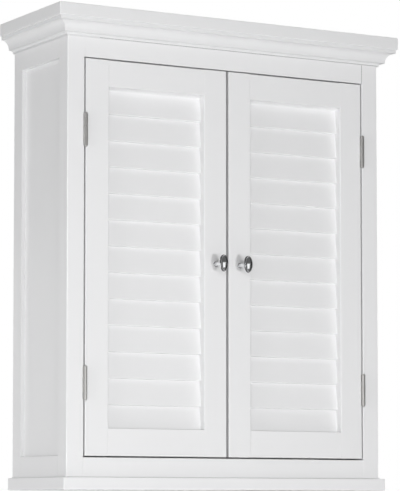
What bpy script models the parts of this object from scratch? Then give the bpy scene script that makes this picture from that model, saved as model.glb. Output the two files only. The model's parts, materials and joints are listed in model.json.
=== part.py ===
"""Wall-mounted bathroom cabinet with two louvred doors, as an assembly of separate pieces.

Metres, +Z up. The wall is the plane Y = 0, the doors face -Y and the cabinet is centred on X = 0.
The origin is the middle of the hanging rail's back face, where the cabinet is screwed to the wall.
Heights are measured from the cabinet's underside, and level() turns one into a Z.
"""

import math

import bmesh
import bpy
from mathutils import Matrix, Vector

# Overall size
overall_width = 0.508
overall_depth = 0.1778
overall_height = 0.6096

# Clearances
fit_gap = 0.0003
running_clearance = 0.00008
cut_overrun = 0.002
weld_overlap = 0.001
weld_distance = 0.000001

# Carcass
crown_overhang = 0.0213
top_board_thick = 0.0163
bottom_board_thick = 0.016
foot_overhang = 0.0064
board_round = 0.0012
post_side = 0.024
post_round = 0.001
rail_round = 0.0006
front_rail_thick = 0.018
front_top_rail_tall = 0.0463
front_bottom_rail_tall = 0.0245
side_rail_thick = 0.018
side_top_rail_tall = 0.0507
side_bottom_rail_tall = 0.0267
side_panel_thick = 0.012
side_panel_recess = 0.0054
tongue_shoulder = 0.003
tongue_thick = 0.006
tongue_deep = 0.006
tenon_shoulder = 0.005

# Back and wall fixing
rear_rail_thick = 0.014
hanging_rail_tall = 0.060
lower_rail_tall = 0.040
back_panel_thick = 0.005
back_tongue_deep = 0.006
wall_screw_spacing = 0.300
wall_screw_hole_radius = 0.003

# Crown moulding, as offsets from the posts and drops below the top board
crown_lip_out = 0.019
crown_lip_drop = 0.0043
cove_top_out = 0.0185
cove_foot_out = 0.0083
cove_tall = 0.0125
bead_out = 0.0078
bead_drop = 0.0004
bead_foot_out = 0.0026
bead_cove_tall = 0.0020
crown_foot_flat = 0.0015
cove_steps = 8
bead_steps = 3

# Shelf and its pins
shelf_thick = 0.015
shelf_height_share = 0.49
shelf_side_play = 0.0006
shelf_end_play = 0.001
shelf_round = 0.0015
pin_row_count = 5
pin_row_pitch = 0.032
pin_radius = 0.0025
pin_collar_radius = 0.0040
pin_collar_thick = 0.0012
pin_bury = 0.0080
pin_reach = 0.0095
pin_hole_extra = 0.0005
pin_inset = 0.020
pin_sides = 12

# Doors
door_thick = 0.020
door_end_gap = 0.0018
hinge_gap = 0.0019
meeting_gap = 0.0034
door_round = 0.001
stile_wide = 0.033
door_top_rail_tall = 0.034
door_bottom_rail_tall = 0.035
slat_count = 13
lowest_slat_sunk = 0.0039
louvre_recess = 0.0085
slat_step = 0.004
slat_thick = 0.0045
slat_lap = 0.004
slat_round = 0.0010
louvre_tongue = 0.008
louvre_end_tongue = 0.005

# Butt hinges
hinge_tall = 0.041
hinge_from_middle = 0.160
knuckle_count = 5
knuckle_radius = 0.0024
knuckle_sides = 16
hinge_pin_radius = 0.0012
pin_tip_radius = 0.0020
pin_tip_tall = 0.0014
pin_tip_flat_share = 0.7
pin_tip_rim_share = 0.75
leaf_thick = 0.001
leaf_deep = 0.016
leaf_corner = 0.003
leaf_screw_radius = 0.0014
leaf_countersink_radius = 0.0027

# Each pair is a screw's place on a leaf, as shares of its depth from the pin and of its half height
leaf_screw_shares = ((0.3, -0.68), (0.68, 0.0), (0.3, 0.68))

# Knobs
knob_drop = 0.002
knob_half_wide = 0.0059
knob_half_tall = 0.0113
knob_reach = 0.0280
knob_base_radius = 0.0035
knob_base_thick = 0.0012
knob_neck_radius = 0.0027
knob_sides = 24
knob_screw_radius = 0.0018
knob_screw_head_radius = 0.004
knob_screw_head_thick = 0.0022
knob_screw_bite = 0.009
knob_hole_extra = 0.0012
screw_head_rim_share = 0.6
screw_head_flat_share = 0.7

# Each pair is a place along the knob, as a share of its reach, and a share of the widening there
knob_foot_shares = ((0.14, 0.35), (0.22, 0.0), (0.44, 0.0))
knob_swell_shares = ((0.52, 0.06), (0.58, 0.28), (0.66, 0.80), (0.77, 1.0))
knob_dome_shares = ((0.86, 0.91), (0.93, 0.71), (0.98, 0.40))
oval_start_share = 0.46
oval_end_share = 0.62

# Magnetic catches
catch_rail_wide = 0.110
catch_rail_deep = 0.024
catch_rail_tall = 0.018
catch_from_centre = 0.020
catch_wide = 0.022
catch_tall = 0.012
catch_deep = 0.015
catch_round = 0.0015
catch_ear_wide = 0.036
catch_ear_deep = 0.010
catch_ear_tall = 0.0025
catch_screw_radius = 0.0016
catch_screw_spacing = 0.029
strike_wide = 0.020
strike_tall = 0.011
strike_thick = 0.001
strike_round = 0.002
strike_hole_radius = 0.0016

# Round corners
corner_steps = 2
sharp_angle_deg = 35.0
hole_sides = 16

# Places that follow from the sizes
body_half = overall_width / 2 - crown_overhang
body_front = crown_overhang - overall_depth
post_low = bottom_board_thick + fit_gap
post_high = overall_height - top_board_thick - fit_gap
opening_half = body_half - post_side
opening_low = post_low + front_bottom_rail_tall
opening_high = post_high - front_top_rail_tall
origin_height = post_high - hanging_rail_tall / 2
side_run = -body_front - 2 * post_side
side_middle = body_front / 2
tongue_start = side_panel_recess + tongue_shoulder
back_panel_rear = -rear_rail_thick - fit_gap
back_panel_front = back_panel_rear - back_panel_thick
inner_side = body_half - side_panel_recess - side_panel_thick
door_low = opening_low + door_end_gap
door_high = opening_high - door_end_gap
door_outer = opening_half - hinge_gap
door_inner = meeting_gap / 2
door_back = body_front + door_thick
field_low = door_low + door_bottom_rail_tall
field_high = door_high - door_top_rail_tall
slat_pitch = (field_high - field_low + lowest_slat_sunk) / slat_count
slats_low = field_low - lowest_slat_sunk
slat_slope = slat_step / slat_pitch
louvre_deep = slat_thick + slat_slope * (slat_pitch + slat_lap)
door_middle = (door_low + door_high) / 2
hinge_x = opening_half - hinge_gap / 2
hinge_y = body_front - knuckle_radius - fit_gap
leaf_face = hinge_gap / 2
shelf_low = opening_low + shelf_height_share * (opening_high - opening_low)
shelf_front = body_front + post_side + shelf_end_play
shelf_back = -post_side - shelf_end_play
stile_middle = (door_inner + stile_wide / 2, door_outer - stile_wide / 2)

SIDES = (("left", -1), ("right", 1))


def level(height):
    """The Z of a height above the cabinet's underside."""
    return height - origin_height


def clear_scene():
    for obj in list(bpy.data.objects):
        bpy.data.objects.remove(obj, do_unlink=True)


def finish(name, colour, roughness, metallic):
    """A Principled material, made once and then shared by the pieces that have this finish."""
    material = bpy.data.materials.get(name)
    if material is None:
        material = bpy.data.materials.new(name)
        material.use_nodes = True
        shader = material.node_tree.nodes["Principled BSDF"]
        shader.inputs["Base Color"].default_value = (*colour, 1.0)
        shader.inputs["Roughness"].default_value = roughness
        shader.inputs["Metallic"].default_value = metallic
        material.diffuse_color = (*colour, 1.0)
    return material


def white_paint():
    return finish("white_paint", (0.83, 0.83, 0.84), 0.38, 0.0)


def bare_board():
    return finish("bare_board", (0.78, 0.77, 0.75), 0.60, 0.0)


def chrome():
    return finish("chrome", (0.80, 0.80, 0.82), 0.06, 1.0)


def satin_steel():
    return finish("satin_steel", (0.60, 0.60, 0.61), 0.30, 1.0)


def white_plastic():
    return finish("white_plastic", (0.80, 0.80, 0.79), 0.45, 0.0)


def add_piece(name, bm, at, material, parent=None):
    """Turns a bmesh built round its own origin into a named object placed at a point."""
    bmesh.ops.recalc_face_normals(bm, faces=bm.faces)
    mesh = bpy.data.meshes.new(name)
    bm.to_mesh(mesh)
    bm.free()
    mesh.shade_smooth()
    mesh.set_sharp_from_angle(angle=math.radians(sharp_angle_deg))
    mesh.materials.append(material)
    piece = bpy.data.objects.new(name, mesh)
    bpy.context.collection.objects.link(piece)
    if parent:
        piece.parent = parent
        piece.location = Vector(at) - parent.location
    else:
        piece.location = at
    return piece


def rounded(corners):
    """Outline points from corners (u, v, radius), each radius turned into an arc of a few steps."""
    points = []
    count = len(corners)
    for index, (u, v, radius) in enumerate(corners):
        corner = Vector((u, v))
        if not radius:
            points.append(corner)
            continue
        back = (Vector(corners[index - 1][:2]) - corner).normalized()
        ahead = (Vector(corners[(index + 1) % count][:2]) - corner).normalized()
        half = back.angle(ahead) / 2
        reach = radius / math.tan(half)
        centre = corner + (back + ahead).normalized() * (radius / math.sin(half))
        first = corner + back * reach - centre
        last = corner + ahead * reach - centre
        start = math.atan2(first.y, first.x)
        turn = math.atan2(first.cross(last), first.dot(last))
        for step in range(corner_steps + 1):
            angle = start + turn * step / corner_steps
            points.append(centre + radius * Vector((math.cos(angle), math.sin(angle))))
    return points


def swept(points, axis, length):
    """A bmesh of an outline swept evenly about the origin along one axis.

    The outline's u and v lie along the two other axes, in X, Y, Z order.
    """
    places = {
        "X": lambda u, v, w: (w, u, v),
        "Y": lambda u, v, w: (u, w, v),
        "Z": lambda u, v, w: (u, v, w),
    }
    place = places[axis]
    bm = bmesh.new()
    start = [bm.verts.new(place(u, v, -length / 2)) for u, v in points]
    face = bm.faces.new(start)
    grown = bmesh.ops.extrude_face_region(bm, geom=[face])
    moved = [item for item in grown["geom"] if isinstance(item, bmesh.types.BMVert)]
    bmesh.ops.translate(bm, vec=place(0, 0, length), verts=moved)
    return bm


def prism(name, corners, axis, length, at, material, parent=None):
    return add_piece(name, swept(rounded(corners), axis, length), at, material, parent)


def box_corners(wide, tall, radius=0):
    return [
        (-wide / 2, -tall / 2, radius),
        (wide / 2, -tall / 2, radius),
        (wide / 2, tall / 2, radius),
        (-wide / 2, tall / 2, radius),
    ]


def block(name, size, at, material, parent=None):
    bm = bmesh.new()
    bmesh.ops.create_cube(bm, size=1.0)
    bmesh.ops.scale(bm, vec=size, verts=bm.verts)
    return add_piece(name, bm, at, material, parent)


def soften(piece, width):
    """Rounds every edge of a board."""
    bevel = piece.modifiers.new("round_edges", "BEVEL")
    bevel.width = width
    bevel.segments = corner_steps
    bevel.limit_method = "ANGLE"


def hide_helper(piece):
    piece.hide_render = True
    piece.display_type = "WIRE"
    return piece


def combine(piece, helper, operation):
    """Adds an exact Boolean with a hidden helper object."""
    boolean = piece.modifiers.new(operation.lower(), "BOOLEAN")
    boolean.operation = operation
    boolean.solver = "EXACT"
    boolean.object = hide_helper(helper)


def turned(profile, sides, axis):
    """A bmesh spun about Y or Z from (radius, height) points that start and end on the axis."""
    bm = bmesh.new()
    along = Vector((0, 1, 0)) if axis == "Y" else Vector((0, 0, 1))
    verts = [bm.verts.new(Vector((radius, 0, 0)) + height * along) for radius, height in profile]
    edges = [bm.edges.new(pair) for pair in zip(verts, verts[1:])]
    bmesh.ops.spin(
        bm,
        geom=verts + edges,
        cent=(0, 0, 0),
        axis=along,
        dvec=(0, 0, 0),
        angle=2 * math.pi,
        steps=sides,
        use_merge=True,
        use_duplicate=False,
    )
    bmesh.ops.remove_doubles(bm, verts=bm.verts, dist=weld_distance)
    return bm


def rod(radius, low, high, sides, axis):
    profile = [(0, low), (radius, low), (radius, high), (0, high)]
    return turned(profile, sides, axis)


def gathered(bodies):
    """One bmesh that holds several separate bodies, each built as a bmesh of its own."""
    whole = bmesh.new()
    for body in bodies:
        scratch = bpy.data.meshes.new("scratch")
        body.to_mesh(scratch)
        body.free()
        whole.from_mesh(scratch)
        bpy.data.meshes.remove(scratch)
    return whole


def make_boards():
    """The top board and the bottom board, which overhang the posts."""
    top_size = (overall_width, overall_depth, top_board_thick)
    top_at = (0, -overall_depth / 2, level(overall_height - top_board_thick / 2))
    soften(block("top_board", top_size, top_at, white_paint()), board_round)
    foot_deep = foot_overhang - body_front
    foot_size = (2 * (body_half + foot_overhang), foot_deep, bottom_board_thick)
    foot_at = (0, -foot_deep / 2, level(bottom_board_thick / 2))
    soften(block("bottom_board", foot_size, foot_at, white_paint()), board_round)


def side_groove(half, face):
    """Corners of the groove that takes a side panel's tongue, cut into the face v = face * half."""
    outer = -half + tongue_start - fit_gap
    inner = -half + tongue_start + tongue_thick + fit_gap
    floor = face * (half - tongue_deep - fit_gap)
    return [
        (inner, face * half, 0),
        (inner, floor, 0),
        (outer, floor, 0),
        (outer, face * half, 0),
    ]


def front_post_corners(side):
    half = post_side / 2
    corners = [(-half, -half, post_round), (half, -half, post_round), (half, half, 0)]
    corners += side_groove(half, 1) + [(-half, half, 0)]
    return [(-side * u, v, radius) for u, v, radius in corners]


def rear_post_corners(side):
    """A rear post also has a groove on its inner face for the back panel."""
    half = post_side / 2
    rear = back_panel_rear + fit_gap + half
    front = back_panel_front - fit_gap + half
    floor = half - back_tongue_deep - fit_gap
    corners = [(-half, half, post_round), (half, half, 0)]
    corners += [(half, rear, 0), (floor, rear, 0), (floor, front, 0), (half, front, 0)]
    corners += [(half, -half, 0)] + side_groove(half, -1) + [(-half, -half, 0)]
    return [(-side * u, v, radius) for u, v, radius in corners]


def make_posts():
    long = post_high - post_low
    middle = level((post_high + post_low) / 2)
    posts = {}
    for name, side in SIDES:
        x = side * (body_half - post_side / 2)
        front_at = (x, body_front + post_side / 2, middle)
        rear_at = (x, -post_side / 2, middle)
        front = prism(f"{name}_front_post", front_post_corners(side), "Z", long, front_at, white_paint())
        prism(f"{name}_rear_post", rear_post_corners(side), "Z", long, rear_at, white_paint())
        posts[name] = front
    return posts


def make_front_rails():
    """The rails above and below the doors, which butt against the front posts."""
    long = 2 * (opening_half - fit_gap)
    y = body_front + front_rail_thick / 2
    rails = (
        ("front_top_rail", front_top_rail_tall, (opening_high + post_high) / 2),
        ("front_bottom_rail", front_bottom_rail_tall, (post_low + opening_low) / 2),
    )
    for name, tall, height in rails:
        corners = box_corners(front_rail_thick, tall, rail_round)
        prism(name, corners, "X", long, (0, y, level(height)), white_paint())


def side_rail_corners(tall, edge):
    """A side rail's section: a groove in the edge that faces the panel takes the panel's tongue."""
    half = side_rail_thick / 2
    outer = -half + tongue_start - fit_gap
    inner = -half + tongue_start + tongue_thick + fit_gap
    lip = edge * tall / 2
    floor = lip - edge * (tongue_deep + fit_gap)
    return [
        (-half, -lip, 0),
        (half, -lip, 0),
        (half, lip, 0),
        (inner, lip, 0),
        (inner, floor, 0),
        (outer, floor, 0),
        (outer, lip, 0),
        (-half, lip, rail_round),
    ]


def make_side_rail(name, side, tall, edge, height):
    """A grooved rail with a stub tenon on each end that enters the posts' grooves."""
    corners = [(-side * u, v, r) for u, v, r in side_rail_corners(tall, edge)]
    x = side * (body_half - side_rail_thick / 2)
    at = (x, side_middle, level(height))
    rail = prism(name, corners, "Y", side_run - 2 * fit_gap, at, white_paint())
    tenon_tall = tall - tongue_deep - fit_gap - 2 * tenon_shoulder
    tenon_size = (tongue_thick, side_run + 2 * tongue_deep, tenon_tall)
    tenon_x = side * (body_half - tongue_start - tongue_thick / 2)
    tenon_z = level(height - edge * (tongue_deep + fit_gap) / 2)
    tenon = block(f"{name}_tenon", tenon_size, (tenon_x, side_middle, tenon_z), white_paint())
    combine(rail, tenon, "UNION")


def pin_places():
    """Depths of the two columns of pin holes and heights of their rows."""
    columns = (shelf_front + pin_inset, shelf_back - pin_inset)
    used = shelf_low - fit_gap - pin_radius
    first = used - pin_row_pitch * (pin_row_count // 2)
    rows = [first + pin_row_pitch * row for row in range(pin_row_count)]
    return columns, rows, used


def pin_holes(side):
    """A cutter for the blind holes, in rows and columns, that take the shelf pins."""
    columns, rows, _ = pin_places()
    deep = pin_bury + pin_hole_extra
    turn = Matrix.Rotation(math.radians(90), 4, "Z")
    holes = []
    for y in columns:
        for height in rows:
            hole = rod(pin_radius + fit_gap, -deep, deep, pin_sides, "Y")
            place = Matrix.Translation((side * inner_side, y, level(height)))
            bmesh.ops.transform(hole, matrix=place @ turn, verts=hole.verts)
            holes.append(hole)
    return gathered(holes)


def make_side_panel(name, side):
    """A board that stands back from the posts, with a tongue all round and rows of pin holes."""
    low = post_low + side_bottom_rail_tall
    high = post_high - side_top_rail_tall
    tall = high - low
    middle = level((high + low) / 2)
    core_size = (side_panel_thick, side_run - 2 * fit_gap, tall - 2 * fit_gap)
    x = side * (inner_side + side_panel_thick / 2)
    panel = block(name, core_size, (x, side_middle, middle), white_paint())
    tongue_size = (tongue_thick, side_run + 2 * tongue_deep, tall + 2 * tongue_deep)
    tongue_x = side * (body_half - tongue_start - tongue_thick / 2)
    tongue = block(f"{name}_tongue", tongue_size, (tongue_x, side_middle, middle), white_paint())
    combine(panel, tongue, "UNION")
    holes = add_piece(f"{name}_holes", pin_holes(side), (0, 0, 0), white_paint())
    combine(panel, holes, "DIFFERENCE")


def make_side_frames():
    for name, side in SIDES:
        top_height = post_high - side_top_rail_tall / 2
        low_height = post_low + side_bottom_rail_tall / 2
        make_side_rail(f"{name}_side_top_rail", side, side_top_rail_tall, -1, top_height)
        make_side_rail(f"{name}_side_bottom_rail", side, side_bottom_rail_tall, 1, low_height)
        make_side_panel(f"{name}_side_panel", side)


def wall_screw_holes():
    """A cutter for the two holes through the back panel and the hanging rail."""
    reach = -back_panel_front + cut_overrun
    holes = [rod(wall_screw_hole_radius, -reach, cut_overrun, hole_sides, "Y") for _ in SIDES]
    for (_, side), hole in zip(SIDES, holes):
        bmesh.ops.translate(hole, vec=(side * wall_screw_spacing / 2, 0, 0), verts=hole.verts)
    return add_piece("wall_screw_holes", gathered(holes), (0, 0, 0), satin_steel())


def make_back():
    """The back panel in the rear posts' grooves, and the two rails behind it against the wall."""
    long = 2 * (opening_half - fit_gap)
    y = -rear_rail_thick / 2
    hanging_size = (long, rear_rail_thick, hanging_rail_tall)
    hanging = block("hanging_rail", hanging_size, (0, y, 0), bare_board())
    lower_size = (long, rear_rail_thick, lower_rail_tall)
    lower_at = (0, y, level(post_low + lower_rail_tall / 2))
    block("lower_back_rail", lower_size, lower_at, bare_board())
    panel_size = (2 * (opening_half + back_tongue_deep), back_panel_thick, post_high - post_low)
    panel_at = (0, (back_panel_front + back_panel_rear) / 2, level((post_high + post_low) / 2))
    panel = block("back_panel", panel_size, panel_at, white_paint())
    holes = wall_screw_holes()
    combine(hanging, holes, "DIFFERENCE")
    combine(panel, holes, "DIFFERENCE")


def crown_section():
    """The moulding's section as (offset from the posts, height), from its top lip to its foot."""
    top = post_high
    cove_top = top - crown_lip_drop
    cove_foot = cove_top - cove_tall
    bead_top = cove_foot - bead_drop
    foot = bead_top - bead_cove_tall
    points = [(fit_gap, top), (crown_lip_out, top), (crown_lip_out, cove_top)]
    for step in range(cove_steps + 1):
        angle = math.pi / 2 * step / cove_steps
        out = cove_top_out - (cove_top_out - cove_foot_out) * math.sin(angle)
        points.append((out, cove_foot + cove_tall * math.cos(angle)))
    for step in range(bead_steps + 1):
        angle = math.pi / 2 * step / bead_steps
        out = bead_out - (bead_out - bead_foot_out) * math.sin(angle)
        points.append((out, foot + bead_cove_tall * math.cos(angle)))
    points.append((bead_foot_out, foot - crown_foot_flat))
    points.append((fit_gap, foot - crown_foot_flat))
    return points


def make_crown():
    """Three lengths of moulding, whose ends lean outwards to a mitre at the front corners."""
    section = crown_section()
    half_mitre = fit_gap / 2
    front = swept([(-out, height) for out, height in section], "X", 2 * body_half)
    for vert in front.verts:
        out = -vert.co.y
        vert.co.x += math.copysign(out - half_mitre, vert.co.x)
    add_piece("crown_front", front, (0, body_front, level(0)), white_paint())
    for name, side in SIDES:
        flank = swept([(side * out, height) for out, height in section], "Y", -body_front)
        for vert in flank.verts:
            out = side * vert.co.x
            if vert.co.y < 0:
                vert.co.y -= out - half_mitre
        at = (side * body_half, body_front / 2, level(0))
        add_piece(f"crown_{name}", flank, at, white_paint())


def make_shelf():
    """The loose shelf, which rests on four pins in the side panels."""
    wide = 2 * (inner_side - 2 * fit_gap - pin_collar_thick - shelf_side_play)
    deep = shelf_back - shelf_front
    lift = bpy.data.objects.new("shelf_slide", None)
    lift.location = (0, (shelf_back + shelf_front) / 2, level(shelf_low + shelf_thick / 2))
    bpy.context.collection.objects.link(lift)
    corners = box_corners(deep, shelf_thick, shelf_round)
    prism("shelf", corners, "X", wide, lift.location, white_paint(), lift)
    columns, _, used = pin_places()
    for name, side in SIDES:
        for place, y in zip(("front", "rear"), columns):
            make_shelf_pin(f"{name}_{place}_shelf_pin", side, (side * inner_side, y, level(used)))


def make_shelf_pin(name, side, at):
    """A pin with a collar that stops it at the panel, built along Y and turned to lie along X."""
    profile = [
        (0, -pin_bury),
        (pin_radius, -pin_bury),
        (pin_radius, fit_gap),
        (pin_collar_radius, fit_gap),
        (pin_collar_radius, fit_gap + pin_collar_thick),
        (pin_radius, fit_gap + pin_collar_thick),
        (pin_radius, pin_reach),
        (0, pin_reach),
    ]
    pin = turned(profile, pin_sides, "Y")
    turn = Matrix.Rotation(math.radians(90 * side), 4, "Z")
    bmesh.ops.transform(pin, matrix=turn, verts=pin.verts)
    add_piece(name, pin, at, satin_steel())


def stile_pocket_corners():
    """The section in (depth, height) of the pocket that a stile has for tenons and slat ends."""
    front = louvre_recess - fit_gap
    rear = louvre_recess + louvre_deep + fit_gap
    back = louvre_recess + slat_thick + fit_gap
    lean = slat_slope * fit_gap
    corners = [(front, door_low - cut_overrun, 0)]
    for slat in range(slat_count):
        foot = slats_low + slat * slat_pitch - fit_gap
        corners.append((front - lean, foot, 0))
        corners.append((front - lean + slat_step, foot + slat_pitch, 0))
    corners.append((front + slat_step, field_high + louvre_end_tongue, 0))
    corners.append((front, field_high + louvre_end_tongue, 0))
    corners.append((front, door_high + cut_overrun, 0))
    corners.append((rear, door_high + cut_overrun, 0))
    corners.append((rear, field_high + louvre_end_tongue, 0))
    corners.append((back + slat_step, field_high + louvre_end_tongue, 0))
    corners.append((back + slat_step, field_high, 0))
    for slat in reversed(range(1, slat_count)):
        ledge = slats_low + slat * slat_pitch + slat_lap + fit_gap
        upper = back + slat_slope * (slat_lap + fit_gap)
        corners.append((upper, ledge, 0))
        corners.append((upper + slat_step, ledge, 0))
    corners.append((back, slats_low, 0))
    corners.append((back, field_low - louvre_end_tongue, 0))
    corners.append((rear, field_low - louvre_end_tongue, 0))
    corners.append((rear, door_low - cut_overrun, 0))
    return corners


def make_stiles(name, side, axis):
    """The two upright members, each with a pocket that follows the slats it holds."""
    tall = door_high - door_low
    y = body_front + door_thick / 2
    corners = box_corners(stile_wide, door_thick, door_round)
    stiles = []
    for place, x in zip(("meeting", "hinge"), stile_middle):
        at = (side * x, y, level(door_middle))
        stiles.append(prism(f"{name}_door_{place}_stile", corners, "Z", tall, at, white_paint(), axis))
    reach = door_outer - door_inner - 2 * (stile_wide - louvre_tongue - fit_gap)
    at = Vector((side * (door_outer + door_inner) / 2, body_front, level(door_middle)))
    pocket_corners = [(deep, height - door_middle, radius) for deep, height, radius in stile_pocket_corners()]
    pocket = prism(f"{name}_door_pocket", pocket_corners, "X", reach, at, white_paint(), axis)
    for stile in stiles:
        combine(stile, pocket, "DIFFERENCE")
    return stiles


def door_rail_corners(tall, edge):
    """A door rail's section in (depth, height), grooved on the edge that faces the louvre."""
    deep_half = door_thick / 2
    lip = edge * tall / 2
    floor = lip - edge * (louvre_end_tongue + fit_gap)
    front = -deep_half + louvre_recess - fit_gap
    rear = -deep_half + louvre_recess + louvre_deep + fit_gap
    return [
        (-deep_half, -lip, door_round),
        (deep_half, -lip, door_round),
        (deep_half, lip, door_round),
        (rear, lip, 0),
        (rear, floor, 0),
        (front, floor, 0),
        (front, lip, 0),
        (-deep_half, lip, rail_round),
    ]


def make_door_rail(name, side, tall, edge, height, axis):
    """A grooved rail between the stiles, with a stub tenon in each stile's groove."""
    field = door_outer - door_inner - 2 * stile_wide
    x = side * (door_outer + door_inner) / 2
    at = (x, body_front + door_thick / 2, level(height))
    rail = prism(name, door_rail_corners(tall, edge), "X", field - 2 * fit_gap, at, white_paint(), axis)
    tenon_size = (field + 2 * louvre_tongue, louvre_deep, tall - louvre_end_tongue - 2 * fit_gap)
    tenon_y = body_front + louvre_recess + louvre_deep / 2
    tenon_z = level(height - edge * louvre_end_tongue / 2)
    tenon = block(f"{name}_tenon", tenon_size, (x, tenon_y, tenon_z), white_paint(), axis)
    combine(rail, tenon, "UNION")


def louvre_corners():
    """The louvre's section in (depth behind the door's face, height): lapped slats leaning back."""
    back = louvre_recess + slat_thick
    corners = [(louvre_recess, field_low - louvre_end_tongue, 0)]
    for slat in range(slat_count):
        foot = slats_low + slat * slat_pitch
        corners.append((louvre_recess, foot, slat_round if slat else 0))
        corners.append((louvre_recess + slat_step, foot + slat_pitch, 0))
    corners.append((louvre_recess + slat_step, field_high + louvre_end_tongue, 0))
    corners.append((back + slat_step, field_high + louvre_end_tongue, 0))
    corners.append((back + slat_step, field_high, 0))
    for slat in reversed(range(slat_count)):
        foot = slats_low + slat * slat_pitch
        if slat:
            corners.append((back + slat_slope * slat_lap, foot + slat_lap, 0))
            corners.append((back + slat_slope * (slat_pitch + slat_lap), foot + slat_lap, 0))
        else:
            corners.append((back, foot, 0))
    corners.append((back, field_low - louvre_end_tongue, 0))
    return corners


def make_louvre(name, side, axis):
    field = door_outer - door_inner - 2 * stile_wide
    x = side * (door_outer + door_inner) / 2
    at = Vector((x, body_front, level(door_middle)))
    corners = [(deep, height - door_middle, radius) for deep, height, radius in louvre_corners()]
    prism(f"{name}_door_louvre", corners, "X", field + 2 * louvre_tongue, at, white_paint(), axis)


def oval_share(reach):
    """How far the knob's round neck has turned into its oval head, from 0 to 1."""
    share = (reach / knob_reach - oval_start_share) / (oval_end_share - oval_start_share)
    share = min(max(share, 0), 1)
    return share * share * (3 - 2 * share)


def knob_profile():
    """The knob's half width at each distance from the door, from the base's seat to the crown."""
    neck = knob_neck_radius
    head = knob_half_wide
    points = [(0, fit_gap), (knob_base_radius, fit_gap), (knob_base_radius, knob_base_thick)]
    for reach, flare in knob_foot_shares:
        points.append((neck + flare * (knob_base_radius - neck), reach * knob_reach))
    for reach, swell in knob_swell_shares:
        points.append((neck + swell * (head - neck), reach * knob_reach))
    for reach, width in knob_dome_shares:
        points.append((width * head, reach * knob_reach))
    return points + [(0, knob_reach)]


def make_knob(name, side, axis, stile):
    """A chrome knob whose round neck widens into an upright oval, held by a screw from inside."""
    bm = turned([(r, -y) for r, y in knob_profile()], knob_sides, "Y")
    stretch = knob_half_tall / knob_half_wide - 1
    for vert in bm.verts:
        vert.co.z *= 1 + stretch * oval_share(-vert.co.y)
    at = (side * stile_middle[0], body_front, level(door_middle - knob_drop))
    knob = add_piece(f"{name}_knob", bm, at, chrome(), axis)
    bore = rod(
        knob_screw_radius + fit_gap,
        -knob_screw_bite - knob_hole_extra,
        door_thick + cut_overrun,
        hole_sides,
        "Y",
    )
    cutter = add_piece(f"{name}_knob_bore", bore, at, satin_steel(), axis)
    combine(knob, cutter, "DIFFERENCE")
    combine(stile, cutter, "DIFFERENCE")
    seat = door_thick + fit_gap
    profile = [
        (0, -knob_screw_bite),
        (knob_screw_radius, -knob_screw_bite),
        (knob_screw_radius, seat),
        (knob_screw_head_radius, seat),
        (knob_screw_head_radius, seat + knob_screw_head_thick * screw_head_rim_share),
        (knob_screw_head_radius * screw_head_flat_share, seat + knob_screw_head_thick),
        (0, seat + knob_screw_head_thick),
    ]
    screw = turned(profile, hole_sides, "Y")
    add_piece(f"{name}_knob_screw", screw, at, satin_steel(), axis)


def knuckle_outline(side):
    """A knuckle seen along its pin: a ring whose tongue runs back to the leaf on one side."""
    near = leaf_face
    far = leaf_face + leaf_thick
    start = math.atan2(math.sqrt(knuckle_radius**2 - far**2), far)
    end = math.atan2(math.sqrt(knuckle_radius**2 - near**2), near) - 2 * math.pi
    reach = knuckle_radius + fit_gap + weld_overlap
    points = []
    for step in range(knuckle_sides + 1):
        angle = start + (end - start) * step / knuckle_sides
        points.append((side * knuckle_radius * math.cos(angle), knuckle_radius * math.sin(angle)))
    points += [(side * near, reach), (side * far, reach)]
    return points


def leaf_screw_holes(name, side, at, axis):
    """A cutter for a leaf's countersunk holes, whose wide ends are on the face beside the pin."""
    flare = leaf_countersink_radius - leaf_screw_radius
    profile = [
        (0, -leaf_thick),
        (leaf_screw_radius, -leaf_thick),
        (leaf_screw_radius, leaf_thick - flare),
        (leaf_countersink_radius, leaf_thick),
        (leaf_countersink_radius, 2 * leaf_thick),
        (0, 2 * leaf_thick),
    ]
    turn = Matrix.Rotation(math.radians(90 * side), 4, "Z")
    holes = []
    for deep_share, tall_share in leaf_screw_shares:
        hole = turned(profile, pin_sides, "Y")
        y = knuckle_radius + fit_gap + deep_share * leaf_deep
        place = Matrix.Translation((side * (leaf_face + leaf_thick), y, tall_share * hinge_tall / 2))
        bmesh.ops.transform(hole, matrix=place @ turn, verts=hole.verts)
        holes.append(hole)
    return add_piece(name, gathered(holes), at, satin_steel(), axis)


def make_leaf(name, side, knuckles, at, axis):
    """A leaf let into the wood on one side of the pin, with its share of the knuckles."""
    inset = knuckle_radius + fit_gap
    plate_at = Vector(at) + Vector((side * (leaf_face + leaf_thick / 2), inset + leaf_deep / 2, 0))
    half_deep = leaf_deep / 2
    half_tall = hinge_tall / 2
    corners = [
        (-half_deep, -half_tall, 0),
        (half_deep, -half_tall, leaf_corner),
        (half_deep, half_tall, leaf_corner),
        (-half_deep, half_tall, 0),
    ]
    leaf = prism(name, corners, "X", leaf_thick, plate_at, satin_steel(), axis)
    pitch = hinge_tall / knuckle_count
    rings = []
    for knuckle in knuckles:
        ring = swept(knuckle_outline(side), "Z", pitch - fit_gap)
        height = knuckle * pitch + pitch / 2 - half_tall
        bmesh.ops.translate(ring, vec=(0, 0, height), verts=ring.verts)
        rings.append(ring)
    combine(leaf, add_piece(f"{name}_rings", gathered(rings), at, satin_steel(), axis), "UNION")
    bore_radius = (hinge_pin_radius + running_clearance) / math.cos(math.pi / knuckle_sides)
    bore = rod(bore_radius, -hinge_tall, hinge_tall, knuckle_sides, "Z")
    combine(leaf, add_piece(f"{name}_bore", bore, at, satin_steel(), axis), "DIFFERENCE")
    combine(leaf, leaf_screw_holes(f"{name}_holes", side, at, axis), "DIFFERENCE")


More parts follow.
